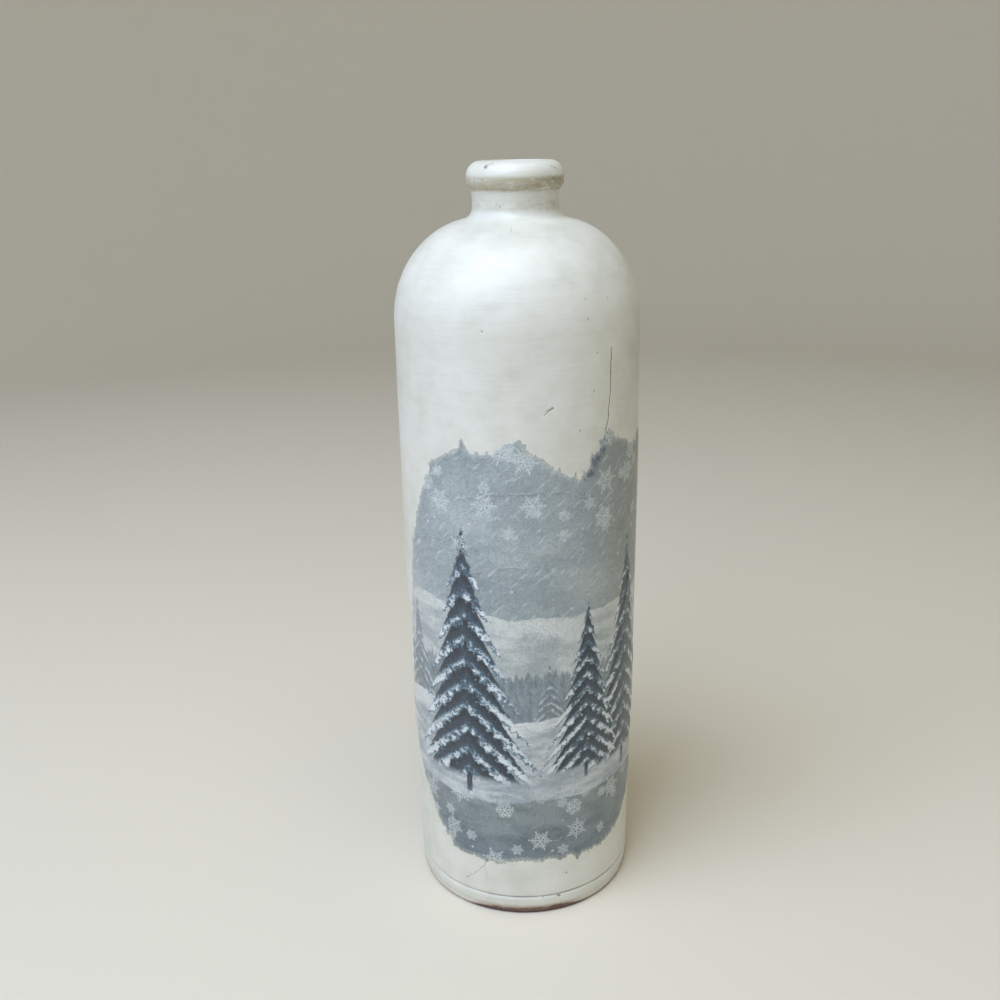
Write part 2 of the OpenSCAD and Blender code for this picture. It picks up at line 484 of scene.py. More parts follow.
        def draw() -> None:
            bpy.ops.mesh.select_all(action="SELECT")
            bpy.ops.mesh.merge(type="CENTER")
            bpy.ops.transform.translate(value=first)
            for move in moves:
                bpy.ops.mesh.extrude_region_move(TRANSFORM_OT_translate={"value": move})

        def spin() -> None:
            bpy.ops.mesh.select_all(action="SELECT")
            bpy.ops.mesh.spin(steps=steps, angle=math.tau, center=(0, 0, 0), axis=(0, 0, 1))
            bpy.ops.mesh.select_all(action="SELECT")
            bpy.ops.mesh.remove_doubles(threshold=SAME * MM)
            bpy.ops.mesh.select_all(action="SELECT")
            bpy.ops.mesh.normals_make_consistent(inside=False)

        Bench.edit(piece, draw)
        if skin:
            Bench.note(piece, SKIN, np.array(skin))
        Bench.edit(piece, spin)
        return piece

    @staticmethod
    def refine(piece: bpy.types.Object, chosen: np.ndarray) -> None:
        """Splits these faces once each way."""
        Bench.pick_faces(piece, chosen)
        Bench.edit(piece, lambda: bpy.ops.mesh.subdivide(number_cuts=1, ngon=False))

    @staticmethod
    def merge(piece: bpy.types.Object, span: float) -> None:
        """Joins vertices nearer each other than a span in millimetres, and drops edges that no face has."""
        Bench.edit(
            piece,
            lambda: bpy.ops.mesh.select_all(action="SELECT"),
            lambda: bpy.ops.mesh.remove_doubles(threshold=span * MM),
            lambda: bpy.ops.mesh.delete_loose(),
        )

    @staticmethod
    def finish(piece: bpy.types.Object, material: bpy.types.Material, slot: Slot, *nodes: str) -> None:
        """Shades a finished piece smooth, gives it its material and lets it stand for its solids."""
        Bench.clear()
        bpy.context.view_layer.objects.active = piece
        piece.select_set(True)
        bpy.ops.object.shade_smooth()
        piece.data.materials.clear()
        piece.data.materials.append(material)
        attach(piece, BODY)
        if nodes:
            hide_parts(*nodes)


def shade(code: str) -> tuple[float, float, float, float]:
    """A colour in the renderer's linear values, from its usual #rrggbb code."""
    parts = [int(code[i : i + 2], 16) / 255 for i in (1, 3, 5)]
    red, green, blue = (c / 12.92 if c <= 0.04045 else ((c + 0.055) / 1.055) ** 2.4 for c in parts)
    return red, green, blue, 1.0


class Wire:
    """One output of a shader node, with arithmetic that adds the nodes it needs."""

    def __init__(self, socket: bpy.types.NodeSocket) -> None:
        self.socket = socket
        self.tree = socket.id_data

    def node(self, kind: str, *values: Value, **settings: object) -> bpy.types.Node:
        """Adds a node and fills its inputs in order.

        Args:
            kind: The node's type.
            *values: A wire or a constant for each input.
            **settings: The node's own options.

        Returns:
            The node.
        """
        made = self.tree.nodes.new(kind)
        for name, value in settings.items():
            setattr(made, name, value)
        for socket, value in zip(made.inputs, values):
            plug(socket, value)
        return made

    def math(self, operation: str, *others: Wire | float) -> Wire:
        """A Math node on this value and up to two others."""
        return Wire(self.node("ShaderNodeMath", self, *others, operation=operation).outputs[0])

    def __add__(self, other: Wire | float) -> Wire:
        """Adds two values."""
        return self.math("ADD", other)

    def __sub__(self, other: Wire | float) -> Wire:
        """Takes a value away."""
        return self.math("SUBTRACT", other)

    def __mul__(self, other: Wire | float) -> Wire:
        """Multiplies two values."""
        return self.math("MULTIPLY", other)

    def __truediv__(self, other: Wire | float) -> Wire:
        """Divides two values."""
        return self.math("DIVIDE", other)

    def inverse(self) -> Wire:
        """One less this value."""
        return self.math("MULTIPLY_ADD", -1.0, 1.0)

    def size(self) -> Wire:
        """This value without its sign."""
        return self.math("ABSOLUTE")

    def soft(self, low: float, high: float) -> Wire:
        """A smooth step from 0 at low to 1 at high."""
        made = self.node("ShaderNodeMapRange", self, low, high, 0.0, 1.0, interpolation_type="SMOOTHSTEP")
        return Wire(made.outputs[0])

    def within(self, low: float, high: float, blur: float) -> Wire:
        """1 between two values and 0 outside them, with soft ends."""
        return self.soft(low - blur, low + blur) * self.soft(high - blur, high + blur).inverse()

    def vector(self, operation: str, other: Value) -> Wire:
        """A Vector Math node on this vector and a second one, or a number to scale it by."""
        made = self.node("ShaderNodeVectorMath", self, operation=operation)
        plug(made.inputs["Scale" if operation == "SCALE" else 1], other)
        return Wire(made.outputs[0])

    def part(self, axis: int) -> Wire:
        """One part of this vector: 0, 1 or 2."""
        return Wire(self.node("ShaderNodeSeparateXYZ", self).outputs[axis])

    def shifted(self, *by: float) -> Wire:
        """This vector moved by three numbers."""
        return self.vector("ADD", by)

    def stretched(self, *by: float) -> Wire:
        """This vector with each part multiplied."""
        return self.vector("MULTIPLY", by)

    def turned(self, degrees: float) -> Wire:
        """This vector turned about its third axis."""
        made = self.node("ShaderNodeVectorRotate", self, rotation_type="Z_AXIS")
        plug(made.inputs["Angle"], math.radians(degrees))
        return Wire(made.outputs[0])

    def noise(
        self, span: float = 1.0, detail: float = 2.0, roughness: float = 0.5, twist: float = 0.0
    ) -> Wire:
        """Smooth noise from 0 to 1 whose patches are about as wide as the span."""
        made = self.node("ShaderNodeTexNoise", self)
        values = {"Scale": 1 / span, "Detail": detail, "Roughness": roughness, "Distortion": twist}
        for name, value in values.items():
            made.inputs[name].default_value = value
        return Wire(made.outputs[0])

    def cells(self, span: float, jitter: float = 1.0, flat: bool = False) -> bpy.types.Node:
        """A Voronoi node whose cells are about as wide as the span."""
        made = self.node("ShaderNodeTexVoronoi", self, voronoi_dimensions="2D" if flat else "3D")
        made.inputs["Scale"].default_value = 1 / span
        made.inputs["Randomness"].default_value = jitter
        return made

    def ramp(self, *stops: tuple[float, str]) -> Wire:
        """Colours along this value, as (value, colour) stops."""
        made = self.node("ShaderNodeValToRGB", self)
        scale = made.color_ramp.elements
        while len(scale) < len(stops):
            scale.new(0.5)
        for stop, (at, code) in zip(scale, stops):
            stop.position = at
            stop.color = shade(code)
        return Wire(made.outputs[0])

    def covered(self, top: Value, mask: Wire | float) -> Wire:
        """This colour with another laid over it where the mask is 1."""
        made = self.node("ShaderNodeMix", data_type="RGBA")
        for socket, value in ((0, mask), (6, self), (7, top)):
            plug(made.inputs[socket], value)
        return Wire(made.outputs[2])

    def over(self, under: Wire, mask: Wire | float) -> Wire:
        """This colour laid over another one where the mask is 1."""
        return under.covered(self, mask)

    def tinted(self, code: str, mask: Wire | float) -> Wire:
        """This colour with a constant one laid over it where the mask is 1."""
        return self.covered(shade(code), mask)

    def joined(self, second: Wire | float, third: Wire | float = 0.0) -> Wire:
        """A vector of this value and two others."""
        return Wire(self.node("ShaderNodeCombineXYZ", self, second, third).outputs[0])


Value = Wire | float | Sequence[float]


def plug(socket: bpy.types.NodeSocket, value: Value) -> None:
    """Links a wire to an input, or sets the input's constant."""
    if isinstance(value, Wire):
        value.tree.links.new(value.socket, socket)
    else:
        socket.default_value = value


class Group:
    """A shader node group that is built once and placed in any material."""

    def __init__(self, name: str, takes: dict[str, str], gives: dict[str, str]) -> None:
        self.tree = bpy.data.node_groups.new(name, "ShaderNodeTree")
        for side, sockets in (("INPUT", takes), ("OUTPUT", gives)):
            for label, kind in sockets.items():
                self.tree.interface.new_socket(name=label, in_out=side, socket_type="NodeSocket" + kind)
        self.start = self.tree.nodes.new("NodeGroupInput")
        self.end = self.tree.nodes.new("NodeGroupOutput")

    def take(self, name: str) -> Wire:
        """One of the group's inputs."""
        return Wire(self.start.outputs[name])

    def give(self, **wires: Wire) -> Group:
        """Feeds the group's outputs."""
        for name, wire in wires.items():
            plug(self.end.inputs[name], wire)
        return self

    def placed(self, tree: bpy.types.NodeTree, **values: Value) -> dict[str, Wire]:
        """Puts the group in a tree.

        Args:
            tree: The material's tree, or another group's.
            **values: A wire or a constant for each input.

        Returns:
            The group's outputs by name.
        """
        made = tree.nodes.new("ShaderNodeGroup")
        made.node_tree = self.tree
        for name, value in values.items():
            plug(made.inputs[name], value)
        return {socket.name: Wire(socket) for socket in made.outputs}


def specks_group() -> Group:
    """Small round specks, of which only the given share is kept."""
    group = Group("Specks", {"Place": "Vector", "Span": "Float", "Share": "Float"}, {"Mask": "Float"})
    place = group.take("Place").vector("SCALE", group.take("Span").math("POWER", -1.0))
    cell = place.cells(1.0)
    chosen = Wire(cell.outputs["Color"]).part(0).math("LESS_THAN", group.take("Share"))
    wide = Wire(cell.outputs["Color"]).part(1) * 0.16 + 0.08
    near = (wide - Wire(cell.outputs["Distance"])).soft(0.0, 0.08)
    return group.give(Mask=near * chosen)


def grain_group() -> Group:
    """Coarse fired clay: uneven tone, and a height for its sandy skin."""
    group = Group("Clay grain", {"Place": "Vector"}, {"Tone": "Float", "Height": "Float"})
    place = group.take("Place")
    tone = place.noise(9.0, 4, 0.6) * 0.6 + place.noise(1.3, 3, 0.6) * 0.4
    height = place.noise(0.7, 3, 0.6) * 0.6 + place.noise(2.6, 2) * 0.4
    return group.give(Tone=tone, Height=height)


def worn_foot_group() -> Group:
    """Where the paint has worn off the foot: Bare is the clay, and Thin the edge that is nearly through."""
    group = Group("Worn foot", {"Place": "Vector"}, {"Bare": "Float", "Thin": "Float"})
    place = group.take("Place")
    middle = (place.part(0) - 0.5).size().soft(10.0, 27.0).inverse()
    front = middle * place.part(1).soft(-26.0, -36.0)
    patches = place.stretched(1.0, 1.0, 0.3).noise(15.0, 2).soft(0.45, 0.75)
    ragged = place.noise(3.2, 4, 0.65) + place.stretched(1, 1, 0.6).noise(0.9, 3, 0.7) * 0.9
    level = front * 2.3 + patches * 0.4 + ragged - 0.7
    above = place.part(2) - level
    return group.give(Bare=above.soft(-0.5, 0.75).inverse(), Thin=above.soft(0.0, 2.3).inverse())


@dataclass(frozen=True)
class DirtAndShadeBands:
    """Where dirt gathers on the paint and where shade is painted into it: a band is its lowest height, its
    highest and the blur of its ends.
    """

    stain_and_shade: str = "#a69c7f"
    groove_shade_and_dirt: str = "#857d6a"
    speck: str = "#5d584c"
    under_lip: Trio = (269.3, 273.9, 0.8)
    round_neck: Trio = (262.9, 266.2, 0.9)
    groove: Trio = (7.6, 8.25, 0.12)
    lip_corner: Trio = (272.4, 274.0, 0.4)
    lip_foot: Trio = (269.3, 270.6, 0.35)
    neck_foot: Trio = (263.6, 265.1, 0.4)
    raggedness: float = 1.6


def paint_group(specks: Group) -> Group:
    """Cream chalk paint under satin varnish: brush strokes, mottling, the dirt under the lip and round the
    neck with painted shade in it, and painted shade in the groove.
    """
    gives = {"Color": "Color", "Roughness": "Float", "Height": "Float"}
    group = Group("Chalk paint", {"Place": "Vector"}, gives)
    dirt_and_shade = DirtAndShadeBands()
    place = group.take("Place")
    z = place.part(2)
    drift = place.noise(30.0, 2)
    patch = place.noise(8.0, 3, 0.6)
    strokes = place.stretched(0.09, 0.09, 1.25).noise(1.0, 3, 0.62)
    grain = place.noise(0.8, 2, 0.6)
    tone = drift * 0.45 + patch * 0.35 + strokes * 0.2
    colour = tone.ramp((0.36, "#cfcfc1"), (0.5, "#dcdbcf"), (0.64, "#e4e3da"))
    patchy = place.noise(3.4, 4, 0.66)
    streaky = place.stretched(0.3, 0.3, 1.5).noise(1.3, 4, 0.7)
    # Stronger towards the right: this weight paints the shade of the bottle's right side into the bands
    # under the lip and round the neck.
    dirt_and_right_shade_weight = place.part(0).soft(-24.0, 20.0) * 0.35 + 0.75
    ragged_z = z + (patchy + streaky) * dirt_and_shade.raggedness - dirt_and_shade.raggedness
    under_lip = ragged_z.within(*dirt_and_shade.under_lip) * ((patchy + streaky) * 0.5).soft(0.24, 0.6) * dirt_and_right_shade_weight
    round_neck = ragged_z.within(*dirt_and_shade.round_neck) * (patchy + streaky).soft(0.75, 1.3) * (dirt_and_right_shade_weight - 0.5)
    # Darker bands under the lip and round the foot of the neck: partly dirt, partly painted shade under the
    # lip's overhang and on the right.
    colour = colour.tinted(dirt_and_shade.stain_and_shade, under_lip * 0.95 + round_neck * 0.9)
    # Darker line in the groove: painted shade in the recess, with a little dirt.
    groove = z.within(*dirt_and_shade.groove) * place.noise(6.0, 3).soft(0.25, 0.6)
    colour = colour.tinted(dirt_and_shade.groove_shade_and_dirt, groove * 0.4)
    band = z.within(*dirt_and_shade.lip_corner) + z.within(*dirt_and_shade.lip_foot) + z.within(*dirt_and_shade.neck_foot) * 0.7
    dabs = place.stretched(0.6, 0.6, 1.1)
    dirt = specks.placed(group.tree, Place=dabs, Span=1.6, Share=0.95)["Mask"] * band
    flecks = specks.placed(group.tree, Place=place, Span=2.3, Share=0.03)["Mask"]
    colour = colour.tinted(dirt_and_shade.speck, (dirt + flecks * 0.4).math("MINIMUM", 0.8))
    roughness = patch * 0.16 + 0.36
    height = strokes * 0.42 + grain * 0.18 + patch * 0.4
    return group.give(Color=colour, Roughness=roughness, Height=height)


class Board:
    """A material under construction: its Principled shader and the wires that its patterns start from."""

    def __init__(self, name: str) -> None:
        self.material = bpy.data.materials.new(name)
        self.material.use_nodes = True
        self.tree = self.material.node_tree
        self.shader = self.tree.nodes["Principled BSDF"]

    def place(self) -> Wire:
        """The point on the piece in millimetres."""
        coordinates = self.tree.nodes.new("ShaderNodeTexCoord")
        return Wire(coordinates.outputs["Object"]).vector("SCALE", 1 / MM)

    def attribute(self, name: str) -> Wire:
        """A number stored on the piece's vertices."""
        made = self.tree.nodes.new("ShaderNodeAttribute")
        made.attribute_name = name
        return Wire(made.outputs["Fac"])

    def fix(self, **values: float | Sequence[float]) -> Board:
        """Sets constants on the shader's own sockets."""
        for name, value in values.items():
            self.shader.inputs[name.replace("_", " ").title()].default_value = value
        return self

    def feed(self, **wires: Wire) -> Board:
        """Links patterns to the shader's sockets."""
        for name, wire in wires.items():
            plug(self.shader.inputs[name.replace("_", " ").title()], wire)
        return self

    def bump(self, height: Wire, deep: float) -> Board:
        """Gives the surface relief from a height of 0 to 1, as deep as this many millimetres."""
        made = height.node("ShaderNodeBump")
        made.inputs["Strength"].default_value = 1.0
        made.inputs["Distance"].default_value = deep * MM
        plug(made.inputs["Height"], height)
        plug(self.shader.inputs["Normal"], Wire(made.outputs[0]))
        return self


@dataclass(frozen=True)
class ClayFinish:
    """Fired stoneware clay, bare where the paint is worn off or never reached."""

    dark: str = "#523f37"
    light: str = "#8d6f61"
    soot_and_contact_shade: str = "#34261f"
    roughness: float = 0.85
    relief: float = 0.12

    def colour(self, tone: Wire) -> Wire:
        """The clay's colour from its grain's tone."""
        return tone.ramp((0.35, self.dark), (0.68, self.light))

    def plain(self, kit: FinishKit) -> bpy.types.Material:
        """Clay with no paint on it."""
        board = Board("Fired clay")
        grain = kit.grain.placed(board.tree, Place=board.place())
        board.fix(roughness=self.roughness).feed(base_color=self.colour(grain["Tone"]))
        return board.bump(grain["Height"], self.relief).material

    def foot(self, kit: FinishKit) -> bpy.types.Material:
        """The foot's clay, with what is left of the paint above its worn edge."""
        board = Board("Worn foot clay")
        place = board.place()
        grain = kit.grain.placed(board.tree, Place=place)
        paint = kit.paint.placed(board.tree, Place=place)
        worn = kit.worn.placed(board.tree, Place=place)
        z = place.part(2)
        bare = worn["Bare"].math("MAXIMUM", z.soft(0.1, 0.5).inverse())
        # Dark patches of soot, and darker towards the bottom edge: that darkening is painted shade where the
        # foot meets the floor.
        soot_and_contact_shade_mask = place.noise(5.0, 3).soft(0.45, 0.7) * 0.3 + z.soft(1.7, 0.2) * 0.65
        clay = self.colour(grain["Tone"]).tinted(self.soot_and_contact_shade, soot_and_contact_shade_mask)
        thin = paint["Color"].tinted(kit.coat.thin, worn["Thin"] * kit.coat.thin_share)
        board.feed(base_color=clay.over(thin, bare), roughness=bare * 0.35 + 0.48)
        return board.bump(grain["Height"], self.relief).material


@dataclass(frozen=True)
class CoatFinish:
    """Chalk paint and satin varnish, with its cracks, pits, chips and worn foot."""

    thin: str = "#b89b86"
    thin_share: float = 0.7
    crack: str = "#544a3d"
    pit: str = "#77756a"
    chip: str = "#877d7a"
    varnish: float = 0.22
    varnish_roughness: float = 0.3
    relief: float = 0.11

    def material(self, kit: FinishKit) -> bpy.types.Material:
        """The painted coat's material."""
        board = Board("Varnished chalk paint")
        place = board.place()
        paint = kit.paint.placed(board.tree, Place=place)
        worn = kit.worn.placed(board.tree, Place=place)
        grain = kit.grain.placed(board.tree, Place=place)
        crack = board.attribute(MarkKind.CRACK.value).soft(0.1, 0.85)
        pit = board.attribute(MarkKind.PIT.value).soft(0.25, 0.85)
        chip = (board.attribute(MarkKind.CHIP.value) + place.noise(1.2, 3) * 0.4).soft(0.35, 1.05)
        colour = paint["Color"].tinted(self.thin, worn["Thin"] * self.thin_share)
        colour = colour.tinted(self.crack, crack * 0.9).tinted(self.pit, pit * 0.85)
        colour = colour.tinted(self.chip, chip * 0.9)
        colour = kit.clay.colour(grain["Tone"]).over(colour, worn["Bare"])
        roughness = paint["Roughness"] + (worn["Bare"] + chip + crack) * 0.35
        board.fix(coat_weight=self.varnish, coat_roughness=self.varnish_roughness)
        board.feed(base_color=colour, roughness=roughness)
        return board.bump(paint["Height"], self.relief).material


@dataclass(frozen=True)
class GlazeFinish:
    """Glossy brown glaze, darker where it has pooled, with fine pinholes."""

    thin: str = "#7a5236"
    deep: str = "#39241a"
    pinhole: str = "#22150f"
    gloss: float = 0.5
    gloss_roughness: float = 0.08
    relief: float = 0.05

    def material(self, kit: FinishKit) -> bpy.types.Material:
        """The lining's material."""
        board = Board("Brown glaze")
        place = board.place()
        runs = place.stretched(1.0, 1.0, 0.25).noise(4.5, 4, 0.6)
        colour = runs.ramp((0.35, self.deep), (0.66, self.thin))
        holes = kit.specks.placed(board.tree, Place=place, Span=2.4, Share=0.4)["Mask"]
        board.fix(coat_weight=self.gloss, coat_roughness=self.gloss_roughness)
        board.feed(base_color=colour.tinted(self.pinhole, holes * 0.7), roughness=runs * 0.25 + 0.1)
        return board.bump(runs - holes * 0.4, self.relief).material


class WinterPicture:
    """A winter forest for the paper, drawn in flat millimetres: x round the wall from the front, y up.

    Mist and pale flecks lie over snowy hills, tall firs stand before a far line of trees, and snow crystals
    drift along the top and the bottom.
    """

    FIR_TONES = ((0.08, "#23272d"), (0.3, "#3b4a56"), (0.5, "#5f7888"), (0.7, "#a4b2b8"), (0.9, "#dfe5e5"))
    BARBS = ((0.1, 0.1), (0.17, 0.07))

    def __init__(self, specks: Group) -> None:
        self.specks = specks
        self.fir = self.fir_group()
        self.crystals = self.crystal_group()
        self.group = Group("Winter picture", {"Flat": "Vector"}, {"Color": "Color"})
        self.group.give(Color=self.drawn(self.group.take("Flat")))

    @staticmethod
    def fir_group() -> Group:
        """One snowy fir: Mask is its outline, and Tone runs from its shadows to its snow."""
        takes = {"Flat": "Vector", "FootX": "Float", "FootY": "Float", "Tall": "Float"}
        group = Group("Snowy fir", takes, {"Mask": "Float", "Tone": "Float"})
        flat, tall = group.take("Flat"), group.take("Tall")
        shake = flat.noise(3.0, 4, 0.68) - 0.5
        side = ((flat.part(0) - group.take("FootX")) / tall).size()
        up = (flat.part(1) - group.take("FootY")) / tall
        bough = (up * 12.0 + side * 11.0 + shake * 1.3).math("FRACT")
        width = up.inverse() * 0.25 * (bough * -0.45 + 1.15) + shake * 0.07
        crown = (width - side).soft(-0.002, 0.01) * up.soft(0.05, 0.09)
        trunk = side.soft(0.008, 0.014).inverse() * up.within(0.0, 0.2, 0.01)
        snow = bough.within(0.12, 0.5, 0.1) * (shake + side * 1.2).soft(-0.02, 0.16)
        needles = flat.stretched(1.0, 0.45, 1.0).noise(0.9, 3, 0.7) - 0.5
        tone = bough.inverse() * 0.34 + shake * 0.5 + needles * 0.45 + 0.12 + snow * 0.55
        return group.give(Mask=crown.math("MAXIMUM", trunk), Tone=tone)

    @staticmethod
    def crystal_group() -> Group:
        """Six-armed snow crystals of one span, of which the given share is kept."""
        takes = {"Flat": "Vector", "Span": "Float", "Share": "Float"}
        group = Group("Snow crystals", takes, {"Mask": "Float"})
        flat = group.take("Flat").vector("SCALE", group.take("Span").math("POWER", -1.0))
        cell = flat.cells(1.0, 0.75, flat=True)
        local = flat.vector("SUBTRACT", Wire(cell.outputs["Position"]))
        luck = Wire(cell.outputs["Color"])
        reach = Wire(cell.outputs["Distance"])
        turn = local.part(1).math("ARCTAN2", local.part(0)) + luck.part(1) * 2.0
        sector = math.tau / 6
        angle = (turn.math("FLOORED_MODULO", sector) - sector / 2).size()
        along, off = reach * angle.math("COSINE"), reach * angle.math("SINE")
        size = luck.part(2) * 0.12 + 0.24
        inside = (size - reach).soft(0.0, 0.02)
        arms = off.soft(0.012, 0.03).inverse()
        for start, length in WinterPicture.BARBS:
            barb = ((along - start) * math.sin(sector) - off * math.cos(sector)).size()
            barb = barb.soft(0.01, 0.024).inverse() * off.soft(length, length + 0.01).inverse()
            arms = arms.math("MAXIMUM", barb)
        return group.give(Mask=arms * inside * luck.part(0).math("LESS_THAN", group.take("Share")))

    def sky(self, flat: Wire) -> Wire:
        """Misty blue-grey air, warmer towards the right, with pale slanting flecks."""
        cloud = flat.stretched(0.6, 1.0, 1.0).noise(24.0, 4, 0.6)
        tone = cloud + flat.part(1) * -0.0012 + 0.16
        colour = tone.ramp((0.3, "#8f9a9c"), (0.5, "#a2acad"), (0.7, "#b9c1c0"))
        colour = colour.tinted("#85887b", flat.part(0).soft(16.0, 60.0) * 0.7)
        slant = flat.turned(-40.0).stretched(0.26, 1.15, 1.0).noise(1.9, 3, 0.64)
        return colour.tinted("#d3dbdc", slant.soft(0.55, 0.7) * 0.55)

    def hill(
        self, flat: Wire, under: Wire, level: float, rise: float, seed: float, light: str, dark: str
    ) -> Wire:
        """A snowy hill over what lies behind it.

        Args:
            flat: The place on the paper.
            under: The colour behind the hill.
            level: Height of its middle.
            rise: How far it rises and falls.
            seed: Which hill it is.
            light: Colour of its snow in the light.
            dark: Colour of its snow in the shade.

        Returns:
            The colour with the hill on it.
        """
        long = flat.part(0).joined(seed).noise(46.0, 2) - 0.5
        short = flat.part(0).joined(seed + 3.0).noise(7.0, 3) - 0.5
        top = long * (2 * rise) + short * (0.3 * rise) + level
        below = top - flat.part(1)
        drift = flat.shifted(0.0, 0.0, seed).stretched(0.35, 1.0, 1.0).noise(6.5, 4, 0.6)
        snow = (drift + below.soft(0.0, 16.0) * -0.12 + 0.06).ramp((0.34, dark), (0.58, light))
        return snow.over(under, below.soft(-0.3, 0.5))

    def firs(self, flat: Wire, under: Wire, trees: Sequence[Trio], mist: float) -> Wire:
        """Firs over what lies behind them.

        Args:
            flat: The place on the paper.
            under: The colour behind them.
            trees: Where each stands and how tall it is.
            mist: How much mist hides them, from 0 to 1.

        Returns:
            The colour with the firs on it.
        """
        for across, foot, tall in trees:
            tree = self.fir.placed(under.tree, Flat=flat, FootX=across, FootY=foot, Tall=tall)
            colour = tree["Tone"].ramp(*self.FIR_TONES).tinted("#a9b3b5", mist)
            under = colour.over(under, tree["Mask"] * (1 - 0.4 * mist))
        return under

    def far_wood(self, flat: Wire, under: Wire) -> Wire:
        """A far line of tree tops in the mist."""
        spikes = flat.part(0).joined(4.0).noise(1.7, 3, 0.7)
        long = flat.part(0).joined(9.0).noise(30.0, 2)
        below = spikes * 13.0 + long * 16.0 + 91.0 - flat.part(1)
        colour = flat.stretched(1.0, 0.3, 1.0).noise(1.8, 3, 0.65).ramp((0.35, "#66747c"), (0.65, "#909ca0"))
        return colour.over(under, below.soft(-0.5, 1.2) * 0.85)

    def drawn(self, flat: Wire) -> Wire:
        """The whole picture, from its sky to its foreground."""
        colour = self.sky(flat)
        colour = self.hill(flat, colour, 128.0, 11.0, 11.0, "#d2d6d1", "#a9b1b0")
        colour = self.far_wood(flat, colour)
        colour = self.firs(flat, colour, ((-46.0, 66.0, 60.0), (68.0, 62.0, 66.0), (10.0, 70.0, 38.0)), 0.45)
        colour = self.hill(flat, colour, 86.0, 8.0, 23.0, "#dadddb", "#a3adb1")
        colour = self.firs(flat, colour, ((47.0, 54.0, 96.0), (25.0, 58.0, 72.0), (-21.0, 52.0, 108.0)), 0.0)
        ground = self.hill(flat, colour, 51.0, 5.0, 37.0, "#8d9797", "#6d787b")
        colour = ground.tinted("#5d7488", flat.part(1).soft(46.0, 26.0) * 0.25)
        return self.snowfall(flat, colour)

    def snowfall(self, flat: Wire, under: Wire) -> Wire:
        """Snow crystals in the top and bottom bands, and small flakes all over."""
        level = flat.part(1) + (flat.noise(30.0, 1) - 0.5) * 16.0
        bands = level.soft(148.0, 156.0) + level.soft(58.0, 48.0)
        kit = self.crystals
        large = kit.placed(under.tree, Flat=flat, Span=15.0, Share=0.8)["Mask"]
        small = kit.placed(under.tree, Flat=flat.shifted(31.0, 17.0, 0.0), Span=9.0, Share=0.3)["Mask"]
        flakes = self.specks.placed(under.tree, Place=flat, Span=3.6, Share=0.3)["Mask"]
        mask = large.math("MAXIMUM", small) * bands * 0.6 + flakes * 0.55
        return under.tinted("#d9e0df", mask.math("MINIMUM", 0.75))


@dataclass(frozen=True)
class PaperFinish:
    """Thin printed paper under satin varnish, with a fuzzy torn edge."""

    fuzz: str = "#c6c7bd"
    slate: str = "#4a5866"
    flat_radius: float = 43.5
    varnish: float = 0.45
    varnish_roughness: float = 0.24
    relief: float = 0.28

    def material(self, kit: FinishKit) -> bpy.types.Material:
        """The paper's material."""
        board = Board("Varnished paper print")
        place = board.place()
        turn = place.part(0).math("ARCTAN2", place.part(1) * -1.0)
        flat = (turn * self.flat_radius).joined(place.part(2))
        picture = kit.picture.group.placed(board.tree, Flat=flat)["Color"]
        edge = board.attribute(PaperPrint.EDGE)
        torn = flat.stretched(1.0, 0.3, 1.0).noise(0.75, 4, 0.72)
        fibres = (edge * 0.3 + torn * 1.7 - 0.8).soft(-0.1, 0.65).inverse()
        stripe = flat.turned(-28.0).stretched(1.0, 0.22, 1.0).noise(0.8, 3, 0.7).soft(0.36, 0.56)
        lobe = flat.part(0).within(22.5, 32.0, 1.2) * flat.part(1).within(175.0, 189.0, 1.5)
        slate = edge.soft(4.6, 2.2) * lobe
        wear = place.noise(2.2, 4, 0.7).soft(0.64, 0.74) * 0.4
        colour = picture.tinted(self.slate, slate * stripe * 0.85)
        # Paler along the creases: partly ink worn off the folds, partly a painted highlight on the crease
        # ridges.
        fold = board.attribute(PaperPrint.FOLD).soft(0.35, 0.95) * flat.noise(1.6, 3, 0.7).soft(0.35, 0.6)
        colour = colour.tinted(self.fuzz, fibres * 0.8 + wear + fold * 0.6)
        crepe = flat.stretched(1.0, 0.7, 1.0).noise(1.1, 4, 0.66, 0.5)
        folds = (flat.noise(2.7, 3, 0.6, 1.1) - 0.5).size().soft(0.06, 0.0)
        roughness = crepe * 0.25 + fibres * 0.2 + 0.24
        board.fix(coat_weight=self.varnish, coat_roughness=self.varnish_roughness)
        board.feed(base_color=colour, roughness=roughness)
        return board.bump(crepe * 0.6 + folds * 0.4, self.relief).material


class FinishKit:
    """The bottle's finishes and the shader groups they share, each built once."""

    def __init__(self) -> None:
        self.specks = specks_group()
        self.grain = grain_group()
        self.worn = worn_foot_group()
        self.paint = paint_group(self.specks)
        self.picture = WinterPicture(self.specks)
        self.clay = ClayFinish()
        self.coat = CoatFinish()


